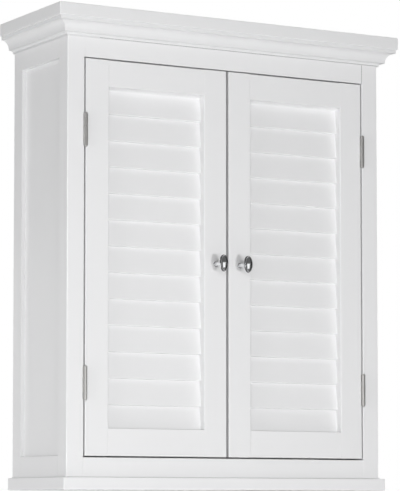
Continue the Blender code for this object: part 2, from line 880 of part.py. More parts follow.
def make_hinge_pin(name, at):
    """A loose pin with a domed tip at each end."""
    end = hinge_tall / 2 + fit_gap
    profile = [
        (0, -end - pin_tip_tall),
        (pin_tip_radius * pin_tip_flat_share, -end - pin_tip_tall * pin_tip_rim_share),
        (pin_tip_radius, -end),
        (hinge_pin_radius, -end),
        (hinge_pin_radius, end),
        (pin_tip_radius, end),
        (pin_tip_radius * pin_tip_flat_share, end + pin_tip_tall * pin_tip_rim_share),
        (0, end + pin_tip_tall),
    ]
    add_piece(name, turned(profile, knuckle_sides, "Z"), at, satin_steel())


def make_hinges(name, side, axis, post, stile):
    """Two butt hinges, let into the post and the door's edge, with their knuckles interleaved."""
    for place, offset in (("top", hinge_from_middle), ("bottom", -hinge_from_middle)):
        at = (side * hinge_x, hinge_y, level(door_middle + offset))
        title = f"{name}_{place}_hinge"
        make_leaf(f"{title}_post_leaf", side, range(0, knuckle_count, 2), at, None)
        make_leaf(f"{title}_door_leaf", -side, range(1, knuckle_count, 2), at, axis)
        make_hinge_pin(f"{title}_pin", at)
        wide = 2 * (leaf_face + leaf_thick + fit_gap)
        deep = leaf_deep + fit_gap + cut_overrun
        size = (wide, deep, hinge_tall + 2 * fit_gap)
        seat_at = (at[0], body_front - cut_overrun + deep / 2, at[2])
        seat = block(f"{title}_seat", size, seat_at, white_paint())
        combine(post, seat, "DIFFERENCE")
        combine(stile, seat, "DIFFERENCE")


def make_catch_rail():
    """A batten behind the top rail that carries the two catches."""
    size = (catch_rail_wide, catch_rail_deep, catch_rail_tall)
    y = body_front + front_rail_thick + fit_gap + catch_rail_deep / 2
    at = (0, y, level(opening_high + catch_rail_tall / 2))
    soften(block("catch_rail", size, at, white_paint()), rail_round)


def catch_holes(name, at):
    """A cutter for the two upright screw holes in a catch's ears."""
    holes = [rod(catch_screw_radius, -catch_tall, catch_tall, pin_sides, "Z") for _ in SIDES]
    for (_, side), hole in zip(SIDES, holes):
        bmesh.ops.translate(hole, vec=(side * catch_screw_spacing / 2, 0, 0), verts=hole.verts)
    return add_piece(name, gathered(holes), at, satin_steel())


def make_catch(name, side, axis):
    """A magnetic catch under the catch rail, and the steel strike that meets it on the door."""
    front = door_back + 2 * fit_gap + strike_thick
    top = opening_high - fit_gap
    at = Vector((side * catch_from_centre, front + catch_deep / 2, level(top - catch_tall / 2)))
    corners = box_corners(catch_wide, catch_tall, catch_round)
    catch = prism(f"{name}_catch", corners, "Y", catch_deep, at, white_plastic())
    ear_at = Vector((at.x, at.y, level(top - catch_ear_tall / 2)))
    ear_corners = box_corners(catch_ear_wide, catch_ear_deep, catch_round)
    ears = prism(f"{name}_catch_ears", ear_corners, "Z", catch_ear_tall, ear_at, white_plastic())
    combine(catch, ears, "UNION")
    combine(catch, catch_holes(f"{name}_catch_holes", ear_at), "DIFFERENCE")
    strike_at = (at.x, door_back + fit_gap + strike_thick / 2, at.z)
    strike_corners = box_corners(strike_wide, strike_tall, strike_round)
    strike = prism(f"{name}_strike", strike_corners, "Y", strike_thick, strike_at, satin_steel(), axis)
    bore = rod(strike_hole_radius, -strike_thick, strike_thick, pin_sides, "Y")
    combine(strike, add_piece(f"{name}_strike_bore", bore, strike_at, satin_steel(), axis), "DIFFERENCE")


def make_door(name, side, post):
    """One door with everything that swings with it, parented to an empty on the hinge line."""
    axis = bpy.data.objects.new(f"{name}_door_axis", None)
    axis.location = (side * hinge_x, hinge_y, level(door_middle))
    bpy.context.collection.objects.link(axis)
    meeting, hinge = make_stiles(name, side, axis)
    top_height = door_high - door_top_rail_tall / 2
    low_height = door_low + door_bottom_rail_tall / 2
    make_door_rail(f"{name}_door_top_rail", side, door_top_rail_tall, -1, top_height, axis)
    make_door_rail(f"{name}_door_bottom_rail", side, door_bottom_rail_tall, 1, low_height, axis)
    make_louvre(name, side, axis)
    make_knob(name, side, axis, meeting)
    make_hinges(name, side, axis, post, hinge)
    make_catch(name, side, axis)


def main():
    clear_scene()
    make_boards()
    posts = make_posts()
    make_front_rails()
    make_side_frames()
    make_back()
    make_crown()
    make_shelf()
    make_catch_rail()
    for name, side in SIDES:
        make_door(name, side, posts[name])


main()
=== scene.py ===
# %% [markdown]
# # A white louvred wall cabinet
#
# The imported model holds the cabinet's construction: boards, posts, doors and hinges at their real size.
# This lesson dresses it. It gives every surface a finish, and it remakes the pieces whose curves
# matter to the eye: the crown moulding, the slats, the chrome knobs and the small hardware.
# Everything is in metres. The wall is the plane Y = 0 and the doors face -Y.

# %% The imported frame
import json
import math

import bmesh
import bpy
from mathutils import Matrix, Vector


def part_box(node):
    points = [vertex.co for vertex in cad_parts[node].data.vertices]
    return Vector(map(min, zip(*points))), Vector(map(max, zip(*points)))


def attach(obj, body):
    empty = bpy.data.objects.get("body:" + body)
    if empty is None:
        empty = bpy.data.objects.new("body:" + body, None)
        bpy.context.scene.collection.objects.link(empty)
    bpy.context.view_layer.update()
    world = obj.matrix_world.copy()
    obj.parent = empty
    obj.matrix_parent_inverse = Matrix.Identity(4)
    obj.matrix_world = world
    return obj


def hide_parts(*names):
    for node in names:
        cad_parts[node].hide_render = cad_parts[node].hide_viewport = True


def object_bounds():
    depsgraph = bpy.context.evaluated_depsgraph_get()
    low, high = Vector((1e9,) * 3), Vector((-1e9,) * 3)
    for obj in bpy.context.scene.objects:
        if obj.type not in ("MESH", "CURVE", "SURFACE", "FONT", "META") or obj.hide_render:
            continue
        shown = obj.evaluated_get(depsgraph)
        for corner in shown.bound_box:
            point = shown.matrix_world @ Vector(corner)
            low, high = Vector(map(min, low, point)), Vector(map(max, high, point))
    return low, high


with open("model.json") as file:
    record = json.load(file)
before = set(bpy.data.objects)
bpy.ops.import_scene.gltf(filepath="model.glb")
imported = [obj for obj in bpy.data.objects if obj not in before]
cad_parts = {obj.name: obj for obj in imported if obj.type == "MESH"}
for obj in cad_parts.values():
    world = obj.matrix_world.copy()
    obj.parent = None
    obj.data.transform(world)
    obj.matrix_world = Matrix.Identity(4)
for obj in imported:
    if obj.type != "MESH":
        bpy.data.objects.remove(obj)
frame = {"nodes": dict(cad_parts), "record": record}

cad_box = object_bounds()
print("CAD box:", [[round(value, 4) for value in corner] for corner in cad_box])

# %% Places that many cells share
sides = ((-1, "left"), (1, "right"))
post_low, post_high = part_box("right_front_post")
body_half = post_high.x
body_front = post_low.y
post_top = post_high.z
post_side = post_high.x - post_low.x
print(f"Posts end {body_half * 1000:.1f} mm from the middle, {-body_front * 1000:.1f} mm from the wall")


def middle_of(node):
    """The middle of a CAD node's box."""
    low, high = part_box(node)
    return (low + high) / 2


# %% [markdown]
# ## The camera
#
# The verticals of the cabinet are almost parallel in the picture although the camera stands as low
# as the cabinet's foot. A photographer gets that by raising the lens and not the camera, so the
# camera here has a small upward shift. A long lens from more than three metres gives the gentle
# perspective.

# %% The camera
sensor_size = 36.0
lens_length = 184.34
lens_shift = 0.1508
camera_place = Vector((-1.6340, -2.9632, -0.5842))
camera_turn_deg = 29.574
camera_tilt_deg = 4.262

camera_data = bpy.data.cameras.new("camera")
camera_data.sensor_width = sensor_size
camera_data.lens = lens_length
camera_data.shift_y = lens_shift
camera = bpy.data.objects.new("camera", camera_data)
camera.location = camera_place
camera.rotation_euler = (math.radians(90 + camera_tilt_deg), 0.0, -math.radians(camera_turn_deg))
bpy.context.scene.collection.objects.link(camera)
bpy.context.scene.camera = camera
bpy.context.scene.view_settings.view_transform = "Standard"
print(f"Camera {camera_place.length:.2f} m from the origin, lens {lens_length} mm")

# %% [markdown]
# ## Sums of sockets
#
# A procedural material is arithmetic on textures. Written as linked Math nodes it is hard to read,
# so a small class wraps a socket and lets it be added and multiplied like a number. The other class
# wraps a node tree. Its main method adds any other node.


# %% A socket that can be used in sums
class Flow:
    """A value in a node tree. Each sum that it is used in adds a Math node."""

    def __init__(self, shading, socket):
        self.shading = shading
        self.socket = socket

    def maths(self, operation, other):
        return self.shading.node("ShaderNodeMath", {"operation": operation}, {0: self, 1: other})

    def __add__(self, other):
        return self.maths("ADD", other)

    def __mul__(self, other):
        return self.maths("MULTIPLY", other)

    __radd__ = __add__
    __rmul__ = __mul__


# %% A node tree, and the method that adds a node to it
white = (1.0, 1.0, 1.0, 1.0)


class Shading:
    """The node tree of a material or of the world."""

    def __init__(self, owner):
        owner.use_nodes = True
        self.owner = owner
        self.tree = owner.node_tree

    def plug(self, value, socket):
        if isinstance(value, Flow):
            self.tree.links.new(value.socket, socket)
        else:
            socket.default_value = value

    def node(self, kind, settings=None, values=None, output=0):
        """Adds a node of a kind, with its settings and then its sockets, and returns an output."""
        made = self.tree.nodes.new(kind)
        for name, value in (settings or {}).items():
            setattr(made, name, value)
        for name, value in (values or {}).items():
            self.plug(value, made.inputs[name])
        return Flow(self, made.outputs[output])

    def place(self):
        """The point being shaded, in coordinates that stay with the piece when a joint moves."""
        return self.node("ShaderNodeTexCoord", None, None, "Object")

    def ray_is(self, kind):
        """1 where the ray that asks is of this kind, and 0 elsewhere."""
        return self.node("ShaderNodeLightPath", None, None, f"Is {kind} Ray")

    def seen(self):
        """1 for the camera and for shiny surfaces, and 0 for the light that paint gathers."""
        return self.ray_is("Camera") + self.ray_is("Glossy") + self.ray_is("Transmission")

    def glow(self, strength):
        return self.node("ShaderNodeEmission", None, {"Color": white, "Strength": strength})

    def mixed(self, share, first, second):
        return self.node("ShaderNodeMixShader", None, {0: share, 1: first, 2: second})

    def show(self, surface):
        """Sends a shader to the output."""
        ends = [node for node in self.tree.nodes if node.bl_idname.startswith("ShaderNodeOutput")]
        self.tree.links.new(surface.socket, ends[0].inputs["Surface"])

    def principled(self, values):
        """Sets the sockets of the material's own Principled shader."""
        shader = self.tree.nodes["Principled BSDF"]
        for name, value in values.items():
            self.plug(value, shader.inputs[name])


def new_finish(name):
    return Shading(bpy.data.materials.new(name))


# %% [markdown]
# ## The studio
#
# The cabinet hangs in the air over a pale floor, in front of nothing but white. White is what the
# camera sees of the world, and shiny metal too. The light that the world sheds on the paint is
# dimmer, and seven lamps give the rest. A small one ahead and below the knobs draws their shadows
# and a large one nearer the camera fills them. Two to the left light the side. One to the right and
# one behind light what a turned cabinet shows, and one above, with a narrow beam, lights the top
# and spares the front.

# %% The world
world_light = 0.12

world = bpy.data.worlds.new("studio")
bpy.context.scene.world = world
air = Shading(world)
shed = air.node("ShaderNodeBackground", None, {"Color": white, "Strength": world_light})
backdrop = air.node("ShaderNodeBackground", None, {"Color": white, "Strength": 1.0})
air.show(air.mixed(air.seen(), shed, backdrop))
print("World sheds", world_light, "and shows as white")


# %% The floor, which fades to white far from the cabinet
def shown(name, bm, finish):
    """Turns a bmesh into an object of the scene with a finish."""
    mesh = bpy.data.meshes.new(name)
    bm.to_mesh(mesh)
    bm.free()
    mesh.materials.append(finish.owner)
    thing = bpy.data.objects.new(name, mesh)
    bpy.context.scene.collection.objects.link(thing)
    return thing


def staged(name, bm, finish):
    """A thing of the studio that isn't part of the cabinet."""
    thing = shown(name, bm, finish)
    return thing


floor_drop = 0.9
floor_reach = 12.0
floor_grey = (0.80, 0.80, 0.80, 1.0)
fade_from = 1.0
fade_to = 2.6

floor_paint = new_finish("floor")
reach = floor_paint.node("ShaderNodeVectorMath", {"operation": "LENGTH"}, {0: floor_paint.place()}, "Value")
far = floor_paint.node(
    "ShaderNodeMapRange",
    {"interpolation_type": "SMOOTHSTEP"},
    {"Value": reach, "From Min": fade_from, "From Max": fade_to},
)
matt = floor_paint.node("ShaderNodeBsdfDiffuse", None, {"Color": floor_grey})
floor_paint.show(floor_paint.mixed(floor_paint.seen() * far, matt, floor_paint.glow(1.0)))

floor_bm = bmesh.new()
bmesh.ops.create_grid(floor_bm, x_segments=1, y_segments=1, size=floor_reach)
bmesh.ops.translate(floor_bm, vec=(0, 0, cad_box[0].z - floor_drop), verts=floor_bm.verts)
staged("floor", floor_bm, floor_paint)
print(f"Floor {floor_drop} m below the cabinet")

# %% The lamps
# Each lamp has a name, a place, a point that it looks at, a width, a height, a power in watts and
# the angle of its beam.
lamps = (
    ("front_lamp", (0.08, -2.40, -0.63), (0.00, -0.20, -0.30), 0.25, 0.25, 16.9, 180),
    ("near_lamp", (-0.80, -2.00, -0.30), (0.00, -0.10, -0.27), 1.20, 1.20, 16.4, 180),
    ("left_lamp", (-1.60, -1.10, -0.50), (0.00, -0.10, -0.27), 1.00, 1.00, 1.9, 180),
    ("side_lamp", (-2.30, -0.25, -0.37), (0.00, -0.10, -0.27), 1.60, 1.40, 21.7, 180),
    ("right_lamp", (2.30, 0.80, 0.40), (0.00, -0.05, -0.27), 1.40, 1.40, 21.0, 180),
    ("rear_lamp", (0.90, 2.50, 0.50), (0.00, 0.00, -0.27), 1.60, 1.60, 26.0, 180),
    ("top_lamp", (0.10, 0.15, 1.80), (0.00, -0.09, 0.05), 0.80, 0.50, 2.6, 60),
)
for name, place, target, wide, tall, power, beam_deg in lamps:
    data = bpy.data.lights.new(name, "AREA")
    data.shape = "RECTANGLE"
    data.size = wide
    data.size_y = tall
    data.energy = power
    data.spread = math.radians(beam_deg)
    lamp = bpy.data.objects.new(name, data)
    lamp.location = place
    lamp.rotation_euler = (Vector(target) - Vector(place)).to_track_quat("-Z", "Y").to_euler()
    lamp.visible_camera = False
    lamp.visible_glossy = False
    bpy.context.scene.collection.objects.link(lamp)
print(len(lamps), "lamps")

# %% [markdown]
# ## Helpers for shapes
#
# Blender's mesh operators give back mixed lists of points, edges and faces. These helpers pick out
# what the next step needs, and hold the arguments that are the same every time.

# %% Spinning, filling and thickening
hole_turns = 24


def of_kind(kind, items):
    """The points, edges or faces in a mixed list."""
    return [item for item in items if isinstance(item, kind)]


def turned(bm, geom, centre, axis, degrees, steps, merge=False):
    """Spins points and edges round an axis, and returns the last points."""
    spun = bmesh.ops.spin(
        bm,
        geom=geom,
        cent=centre,
        axis=axis,
        dvec=(0, 0, 0),
        angle=math.radians(degrees),
        steps=steps,
        use_merge=merge,
        use_duplicate=False,
    )
    return of_kind(bmesh.types.BMVert, spun["geom_last"])


def filled(bm, normal=(0, 0, 0)):
    """Fills a flat outline, with the rings inside it as holes, and returns the faces."""
    edges = list(bm.edges)
    fill = bmesh.ops.triangle_fill(bm, use_beauty=True, use_dissolve=False, edges=edges, normal=normal)
    return of_kind(bmesh.types.BMFace, fill["geom"])


def thickened(bm, faces, along):
    """Extrudes faces along a vector, and returns the points of the far end."""
    grown = bmesh.ops.extrude_face_region(bm, geom=faces)
    ends = of_kind(bmesh.types.BMVert, grown["geom"])
    bmesh.ops.translate(bm, vec=along, verts=ends)
    return ends


def ring(bm, radius, place):
    """A circle of edges that lies flat round a place."""
    matrix = Matrix.Translation(place)
    bmesh.ops.create_circle(bm, cap_ends=False, radius=radius, segments=hole_turns, matrix=matrix)


print("Helpers for shapes ready")

# %% [markdown]
# ## Dark flags for the chrome
#
# Chrome has no colour of its own, it shows the room. In an all-white room it turns white and loses
# its shape. A photographer stands dark flags round it, and their reflections draw the dark rim and
# the dark upper half that say chrome. These flags are curved walls made by a spin, and only shiny
# reflections see them, so the paint keeps its light.

# %% The flags
flags_centre = (0, -0.1778, -0.2715)
flag_rows = 12
flag_columns = 24


def hidden_but_to_mirrors(thing):
    """Only shiny reflections see a flag. It throws no shadow and takes no light from the paint."""
    thing.visible_camera = False
    thing.visible_diffuse = False
    thing.visible_transmission = False
    thing.visible_shadow = False


def flag(name, grey, turn_from, turn_to, lean_from, lean_to, away):
    """Part of a sphere round the knobs, between two turns from -Y towards +X and two heights."""
    cloth = new_finish(name)
    cloth.show(cloth.glow(grey))
    bm = bmesh.new()
    lean = math.radians(lean_from)
    start = bm.verts.new((0, -away * math.cos(lean), away * math.sin(lean)))
    turned(bm, [start], (0, 0, 0), (-1, 0, 0), lean_to - lean_from, flag_rows)
    turn = Matrix.Rotation(math.radians(turn_from), 3, "Z")
    bmesh.ops.rotate(bm, cent=(0, 0, 0), matrix=turn, verts=bm.verts)
    turned(bm, list(bm.verts) + list(bm.edges), (0, 0, 0), (0, 0, 1), turn_to - turn_from, flag_columns)
    bmesh.ops.translate(bm, vec=flags_centre, verts=bm.verts)
    hidden_but_to_mirrors(staged(name, bm, cloth))


# Each flag has a name, a grey, its first and last turn, its lowest and highest lean, and its
# distance from the knobs.
flags = (
    ("right_flag", 0.032, 36, 150, -60, 60, 0.80),
    ("near_right_flag", 0.13, 5, 37, -60, 60, 0.84),
    ("left_flag", 0.11, -140, -65, -36, 45, 0.80),
    ("upper_flag", 0.12, -180, 180, 12, 90, 0.90),
    ("low_upper_flag", 0.25, -180, 180, 6, 13, 0.92),
    ("lower_flag", 0.24, -180, 180, -90, -37, 0.90),
)
for values in flags:
    flag(*values)
print(len(flags), "flags")


# %% The card behind the knobs, a painted dark reflection of the doors for the chrome
def closed_wire(bm, points):
    """A closed ring of edges through points in the plane Y = 0."""
    corners = [bm.verts.new((x, 0, z)) for x, z in points]
    for number, corner in enumerate(corners):
        bm.edges.new((corners[number - 1], corner))


def card(name, grey, half_wide, half_tall, windows, centre):
    """A one-sided card just in front of the doors that only mirrors ahead of it see, a painted dark
    reflection.
    """
    cloth = new_finish(name)
    behind = cloth.node("ShaderNodeNewGeometry", None, None, "Backfacing")
    cloth.show(cloth.mixed(behind, cloth.glow(grey), cloth.node("ShaderNodeBsdfTransparent")))
    bm = bmesh.new()
    corners = ((-1, -1), (1, -1), (1, 1), (-1, 1))
    for outline in ([(half_wide * x, half_tall * z) for x, z in corners], *windows):
        closed_wire(bm, outline)
    filled(bm, (0, -1, 0))
    bm.normal_update()
    bmesh.ops.reverse_faces(bm, faces=[face for face in bm.faces if face.normal.y > 0])
    bmesh.ops.translate(bm, vec=centre, verts=bm.verts)
    hidden_but_to_mirrors(staged(name, bm, cloth))


knob_x = 0.0182
# Painted reflection: the grey that the chrome knobs show of the doors outside the card's windows.
card_grey = 0.10
card_half_wide = 0.14
card_half_tall = 0.13
card_centre = (0, -0.1590, -0.2715)
window = (
    (-0.033, 0.002),
    (-0.033, -0.015),
    (-0.012, -0.015),
    (-0.012, -0.018),
    (0.007, -0.018),
    (0.007, 0.011),
    (-0.012, 0.011),
    (-0.012, 0.002),
)
windows = [[(side * knob_x + x, z) for x, z in window] for side, name in sides]
card("painted_door_reflection_card", card_grey, card_half_wide, card_half_tall, windows, card_centre)
print("Card with two windows")

# %% [markdown]
# ## Finishes
#
# The paint is sprayed on smooth board: satin, with the faint orange peel that a spray leaves and a
# slight change of gloss across a board. The bump is hundredths of a millimetre deep. It is too fine
# to see as a shape, but it keeps the highlights from looking like plastic.

# %% Satin white paint, a greyer white as painted shade on the crown, and dark grey as painted shade in open joints
peel_scale = 620.0
peel_depth = 0.00003
dust_scale = peel_scale * 3.1
cloud_scale = 9.0


def noise(shading, coordinates, scale, detail):
    values = {"Vector": coordinates, "Scale": scale, "Detail": detail, "Roughness": 0.5}
    return shading.node("ShaderNodeTexNoise", {"noise_dimensions": "3D"}, values, "Fac")


def tinted(shading, share, low, high):
    """A colour between two, by a share from 0 to 1."""
    return shading.node("ShaderNodeMix", {"data_type": "RGBA"}, {0: share, 6: low, 7: high}, 2)


def bumped(shading, height, depth):
    return shading.node("ShaderNodeBump", None, {"Height": height, "Distance": depth, "Strength": 1.0})


def satin_paint(name, low, high, rough):
    paint = new_finish(name)
    place = paint.place()
    cloud = noise(paint, place, cloud_scale, detail=3.0)
    peel = noise(paint, place, peel_scale, detail=1.5)
    dust = noise(paint, place, dust_scale, detail=0.0)
    paint.principled(
        {
            "Base Color": tinted(paint, cloud, low, high),
            "Roughness": rough - 0.03 + 0.07 * cloud + 0.05 * peel,
            "Normal": bumped(paint, 0.85 * peel + 0.15 * dust, peel_depth),
        }
    )
    return paint


satin_white = satin_paint("satin_white", (0.815, 0.816, 0.822, 1), (0.835, 0.836, 0.842, 1), rough=0.36)
# Painted shade: the crown's paint is a little greyer than the rest of the cabinet's, to darken it as shade
# would.
crown_painted_shade_white = satin_paint("crown_painted_shade_white", (0.765, 0.766, 0.772, 1), (0.785, 0.786, 0.792, 1), rough=0.36)
# Painted shade: a dark grey for fillers in open joints and the crown's quirk, standing for the shadow in the
# gap.
painted_gap_shade = satin_paint("painted_gap_shade", (0.28, 0.28, 0.28, 1), (0.36, 0.36, 0.36, 1), rough=0.60)
print("Satin white for the cabinet, a greyer one for the crown, and dust")

# %% White back board, with the fine leather-like press of a board that isn't meant to be seen
board_cloud_scale = 22.0
board_cell_scale = 640.0
board_fibre_scale = 960.0
board_depth = 0.00008


def pressed_board(name, low, high):
    board = new_finish(name)
    place = board.place()
    cloud = noise(board, place, board_cloud_scale, detail=4.0)
    cells = board.node("ShaderNodeTexVoronoi", None, {"Vector": place, "Scale": board_cell_scale}, "Distance")
    fibre = noise(board, place, board_fibre_scale, detail=4.0)
    board.principled(
        {
            "Base Color": tinted(board, 0.6 * cloud + 0.4 * fibre, low, high),
            "Roughness": 0.55 + 0.15 * fibre,
            "Normal": bumped(board, 0.6 * cells + 0.4 * fibre, board_depth),
        }
    )
    return board


back_board = pressed_board("back_board", (0.75, 0.745, 0.73, 1), (0.82, 0.815, 0.805, 1))
print("Back board")

# %% Metals and moulded plastic
haze_scale = 180.0
line_scale = 900.0
metal_cloud_scale = 120.0
line_depth = 0.000015
spark_scale = 1500.0
plastic_cloud_scale = 60.0
spark_depth = 0.00004


def polished_chrome(name):
    """Chrome plate: a mirror with the faintest haze where it was wiped."""
    plate = new_finish(name)
    haze = noise(plate, plate.place(), haze_scale, detail=3.0)
    plate.principled(
        {
            "Base Color": tinted(plate, haze, (0.86, 0.87, 0.88, 1), (0.92, 0.93, 0.94, 1)),
            "Metallic": 1.0,
            "Roughness": 0.035 + 0.04 * haze,
        }
    )
    return plate


def brushed_metal(name, low, high, rough, grain, metallic=1.0):
    """Plated steel with fine lines across one axis, which grain stretches."""
    metal = new_finish(name)
    place = metal.place()
    drawn = metal.node("ShaderNodeMapping", None, {"Vector": place, "Scale": grain})
    lines = noise(metal, drawn, line_scale, detail=3.0)
    cloud = noise(metal, place, metal_cloud_scale, detail=2.0)
    metal.principled(
        {
            "Base Color": tinted(metal, 0.5 * lines + 0.5 * cloud, low, high),
            "Metallic": metallic,
            "Roughness": rough - 0.05 + 0.12 * lines + 0.06 * cloud,
            "Normal": bumped(metal, lines, line_depth),
        }
    )
    return metal


def moulded_plastic(name, low, high):
    plastic = new_finish(name)
    place = plastic.place()
    spark = noise(plastic, place, spark_scale, detail=1.0)
    cloud = noise(plastic, place, plastic_cloud_scale, detail=2.0)
    plastic.principled(
        {
            "Base Color": tinted(plastic, cloud, low, high),
            "Roughness": 0.42 + 0.10 * spark,
            "Normal": bumped(plastic, spark, spark_depth),
        }
    )
    return plastic


chrome = polished_chrome("chrome")
nickel_colours = ((0.59, 0.585, 0.57, 1), (0.71, 0.70, 0.685, 1))
nickel = brushed_metal("satin_nickel", *nickel_colours, rough=0.30, grain=(1.0, 1.0, 0.06), metallic=0.75)
zinc_colours = ((0.52, 0.53, 0.55, 1), (0.66, 0.67, 0.69, 1))
zinc = brushed_metal("zinc_screws", *zinc_colours, rough=0.28, grain=(1.0, 0.3, 1.0))
magnet_colours = ((0.30, 0.30, 0.31, 1), (0.42, 0.42, 0.43, 1))
magnet = brushed_metal("magnet_plates", *magnet_colours, rough=0.38, grain=(0.2, 1.0, 1.0))
catch_white = moulded_plastic("catch_white", (0.77, 0.77, 0.76, 1), (0.81, 0.81, 0.80, 1))
print("Chrome, nickel, zinc, magnet steel and plastic")

# %% [markdown]
# ## The CAD pieces take their finishes
#
# Posts, stiles, most rails and the panels have the right shape already, so they stay as the CAD made
# them and only their material slots are filled. The record says which slot each node belongs to.

# %% Finishes for the CAD pieces
finish_of_slot = {
    "painted_wood": satin_white,
    "white_board": back_board,
    "chrome": chrome,
    "hinge_steel": nickel,
    "catch_plastic": catch_white,
}
slot_of_node = {entry["node"]: entry["material_slot"] for entry in frame["record"]["subparts"]}
for name, node in frame["nodes"].items():
    for holder in node.material_slots:
        holder.material = finish_of_slot[slot_of_node[name]].owner
print(f"{len(frame['nodes'])} nodes dressed")

# %% [markdown]
# ## Drawing with a pen
#
# Mouldings, hinges and knobs all start as an outline. A pen draws one in a bmesh: it extrudes its tip
# along straight runs and spins it round curves, so a curve is always a true arc. The same outline
# can then be filled and extruded, as a moulding is, or spun, as a knob is on a lathe.

# %% The pen
merge_apart = 0.000001


class Pen:
    """Draws a wire outline from a starting point, by extruding and spinning its tip."""

    def __init__(self, start):
        self.bm = bmesh.new()
        self.start = self.bm.verts.new(start)
        self.tip = self.start

    def line(self, *ends):
        for end in ends:
            self.tip = bmesh.ops.extrude_vert_indiv(self.bm, verts=[self.tip])["verts"][0]
            self.tip.co = end
        return self

    def arc(self, centre, axis, degrees, steps, stretch=(1.0, 1.0, 1.0)):
        """Spins the tip round a centre. With a stretch, the arc is one of a stretched circle."""
        old = set(self.bm.verts) - {self.tip}
        about = Matrix.Translation(-Vector(centre))
        bmesh.ops.scale(self.bm, vec=[1 / share for share in stretch], space=about, verts=[self.tip])
        self.tip = turned(self.bm, [self.tip], centre, axis, degrees, steps)[0]
        new = [vert for vert in self.bm.verts if vert not in old]
        bmesh.ops.scale(self.bm, vec=stretch, space=about, verts=new)
        return self

    def close(self):
        self.bm.edges.new((self.tip, self.start))
        return self

    def extruded(self, along):
        """Fills the closed outline and extrudes it along a vector."""
        faces = bmesh.ops.contextual_create(self.bm, geom=list(self.bm.edges))["faces"]
        thickened(self.bm, faces, along)
        return self.bm

    def spun(self, axis, steps):
        """Spins an outline that starts and ends on an axis through the origin."""
        turned(self.bm, list(self.bm.verts) + list(self.bm.edges), (0, 0, 0), axis, 360, steps, merge=True)
        bmesh.ops.remove_doubles(self.bm, verts=self.bm.verts, dist=merge_apart)
        return self.bm


# %% Joining and placing shapes, and a plain block
def joined(shapes):
    """One bmesh that holds several separate shapes."""
    whole = bmesh.new()
    for shape in shapes:
        scratch = bpy.data.meshes.new("scratch")
        shape.to_mesh(scratch)
        shape.free()
        whole.from_mesh(scratch)
        bpy.data.meshes.remove(scratch)
    return whole


def placed(bm, matrix):
    bmesh.ops.transform(bm, matrix=matrix, verts=bm.verts)
    return bm


def block(low, high):
    """A box between two corners."""
    low, high = Vector(low), Vector(high)
    bm = bmesh.new()
    bmesh.ops.create_cube(bm, size=1.0)
    bmesh.ops.scale(bm, vec=high - low, verts=bm.verts)
    bmesh.ops.translate(bm, vec=(high + low) / 2, verts=bm.verts)
    return bm


# %% Making a piece
def piece(name, bm, finish, body, slot, stands_for=(), sharp_deg=35.0, flat_faces=False):
    """Turns a bmesh that is already in its place into a piece that rides on a CAD body."""
    bmesh.ops.recalc_face_normals(bm, faces=bm.faces)
    made = shown(name, bm, finish)
    made.data.shade_smooth()
    made.data.set_sharp_from_angle(angle=math.radians(sharp_deg))
    if flat_faces:
        made.modifiers.new("flat_faces_stay_flat", "WEIGHTED_NORMAL").keep_sharp = True
    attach(made, body)
    if stands_for:
        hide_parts(*stands_for)
    print(f"{name}: {len(made.data.polygons)} faces on {body}")
    return made


def painted(name, bm, body="cabinet", stands_for=(), finish=satin_white, **edges):
    """A piece of painted wood."""
    return piece(name, bm, finish, body, "painted_wood", stands_for, **edges)


def fitting(name, bm, finish, body, stands_for=(), **edges):
    """A piece of the steel hardware."""
    return piece(name, bm, finish, body, "hinge_steel", stands_for, **edges)


# %% Easing edges
crease = math.radians(40)
long_edge = 0.05
level_slack = 0.0001


def softened(bm, radius, steps=3, chooses=None):
    """Rounds the sharp edges of a shape, or those that a test chooses."""
    edges = [edge for edge in bm.edges if edge.is_manifold and edge.calc_face_angle(0) > crease]
    bmesh.ops.bevel(
        bm,
        geom=[edge for edge in edges if chooses is None or chooses(edge)],
        offset=radius,
        offset_type="OFFSET",
        affect="EDGES",
        segments=steps,
        profile=0.5,
        material=-1,
    )
    return bm


def runs_above(level):
    """A test for edges that run the whole length along Y, and lie above a level."""

    def test(edge):
        near, far = edge.verts
        return abs(near.co.y - far.co.y) > long_edge and near.co.z > level + level_slack

    return test


print("Pen, pieces and easing ready")

# %% [markdown]
# ## The boards at the top and the foot
#
# The two overhanging boards and the shelf catch the light along their edges, so their edges need a
# rounding that shades smoothly. A cube scaled to the board's size and bevelled on every edge does it.
# Weighted normals keep the broad faces flat while the narrow rounding shades as a curve.

# %% Boards
board_round = 0.0011
shelf_round = 0.0014


def board(name, node, radius, body="cabinet"):
    shape = softened(block(*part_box(node)), radius, steps=4)
    return painted(name, shape, body, [node], sharp_deg=50, flat_faces=True)


board("top", "top_board", board_round)
board("foot", "bottom_board", board_round)
board("loose_shelf", "shelf", shelf_round, "shelf")

# %% [markdown]
# ## The crown moulding
#
# A router cuts a moulding in one pass, so its section is the same all along and is made of arcs: a
# flat lip under the top board, a wide cove, a small step, and a little cove down to the posts. Below
# its foot a narrow slot, the quirk, parts it from a last thin lip. One section is drawn with its
# outward side along X, extruded, its arrises are eased as paint eases them, and its ends are sawn
# off at 45 degrees for the mitres.

# %% The crown's sizes: how far each edge stands out from the posts, and how far it lies below their tops
crown_gap = 0.0003
crown_rise = 0.00025
mitre_gap = 0.00004
lip_out = 0.0190
cove_top = -0.0043
cove_top_out = 0.0185
cove_foot_out = 0.0083
cove_tall = 0.0125
bead_out = 0.0078
bead_drop = 0.0004
bead_foot_out = 0.0026
bead_tall = 0.0020
foot_flat = 0.0012
quirk_tall = 0.0006
quirk_deep = 0.0015
last_lip_out = 0.0020
last_lip_tall = 0.0005
paint_round = 0.00015

cove_foot = cove_top - cove_tall
bead_top = cove_foot - bead_drop
bead_foot = bead_top - bead_tall
crown_foot = bead_foot - foot_flat
quirk_foot = crown_foot - quirk_tall
quirk_out = bead_foot_out - quirk_deep
lip_foot = quirk_foot - last_lip_tall
print(f"Crown moulding {-lip_foot * 1000:.1f} mm tall, {lip_out * 1000:.1f} mm proud of the posts")


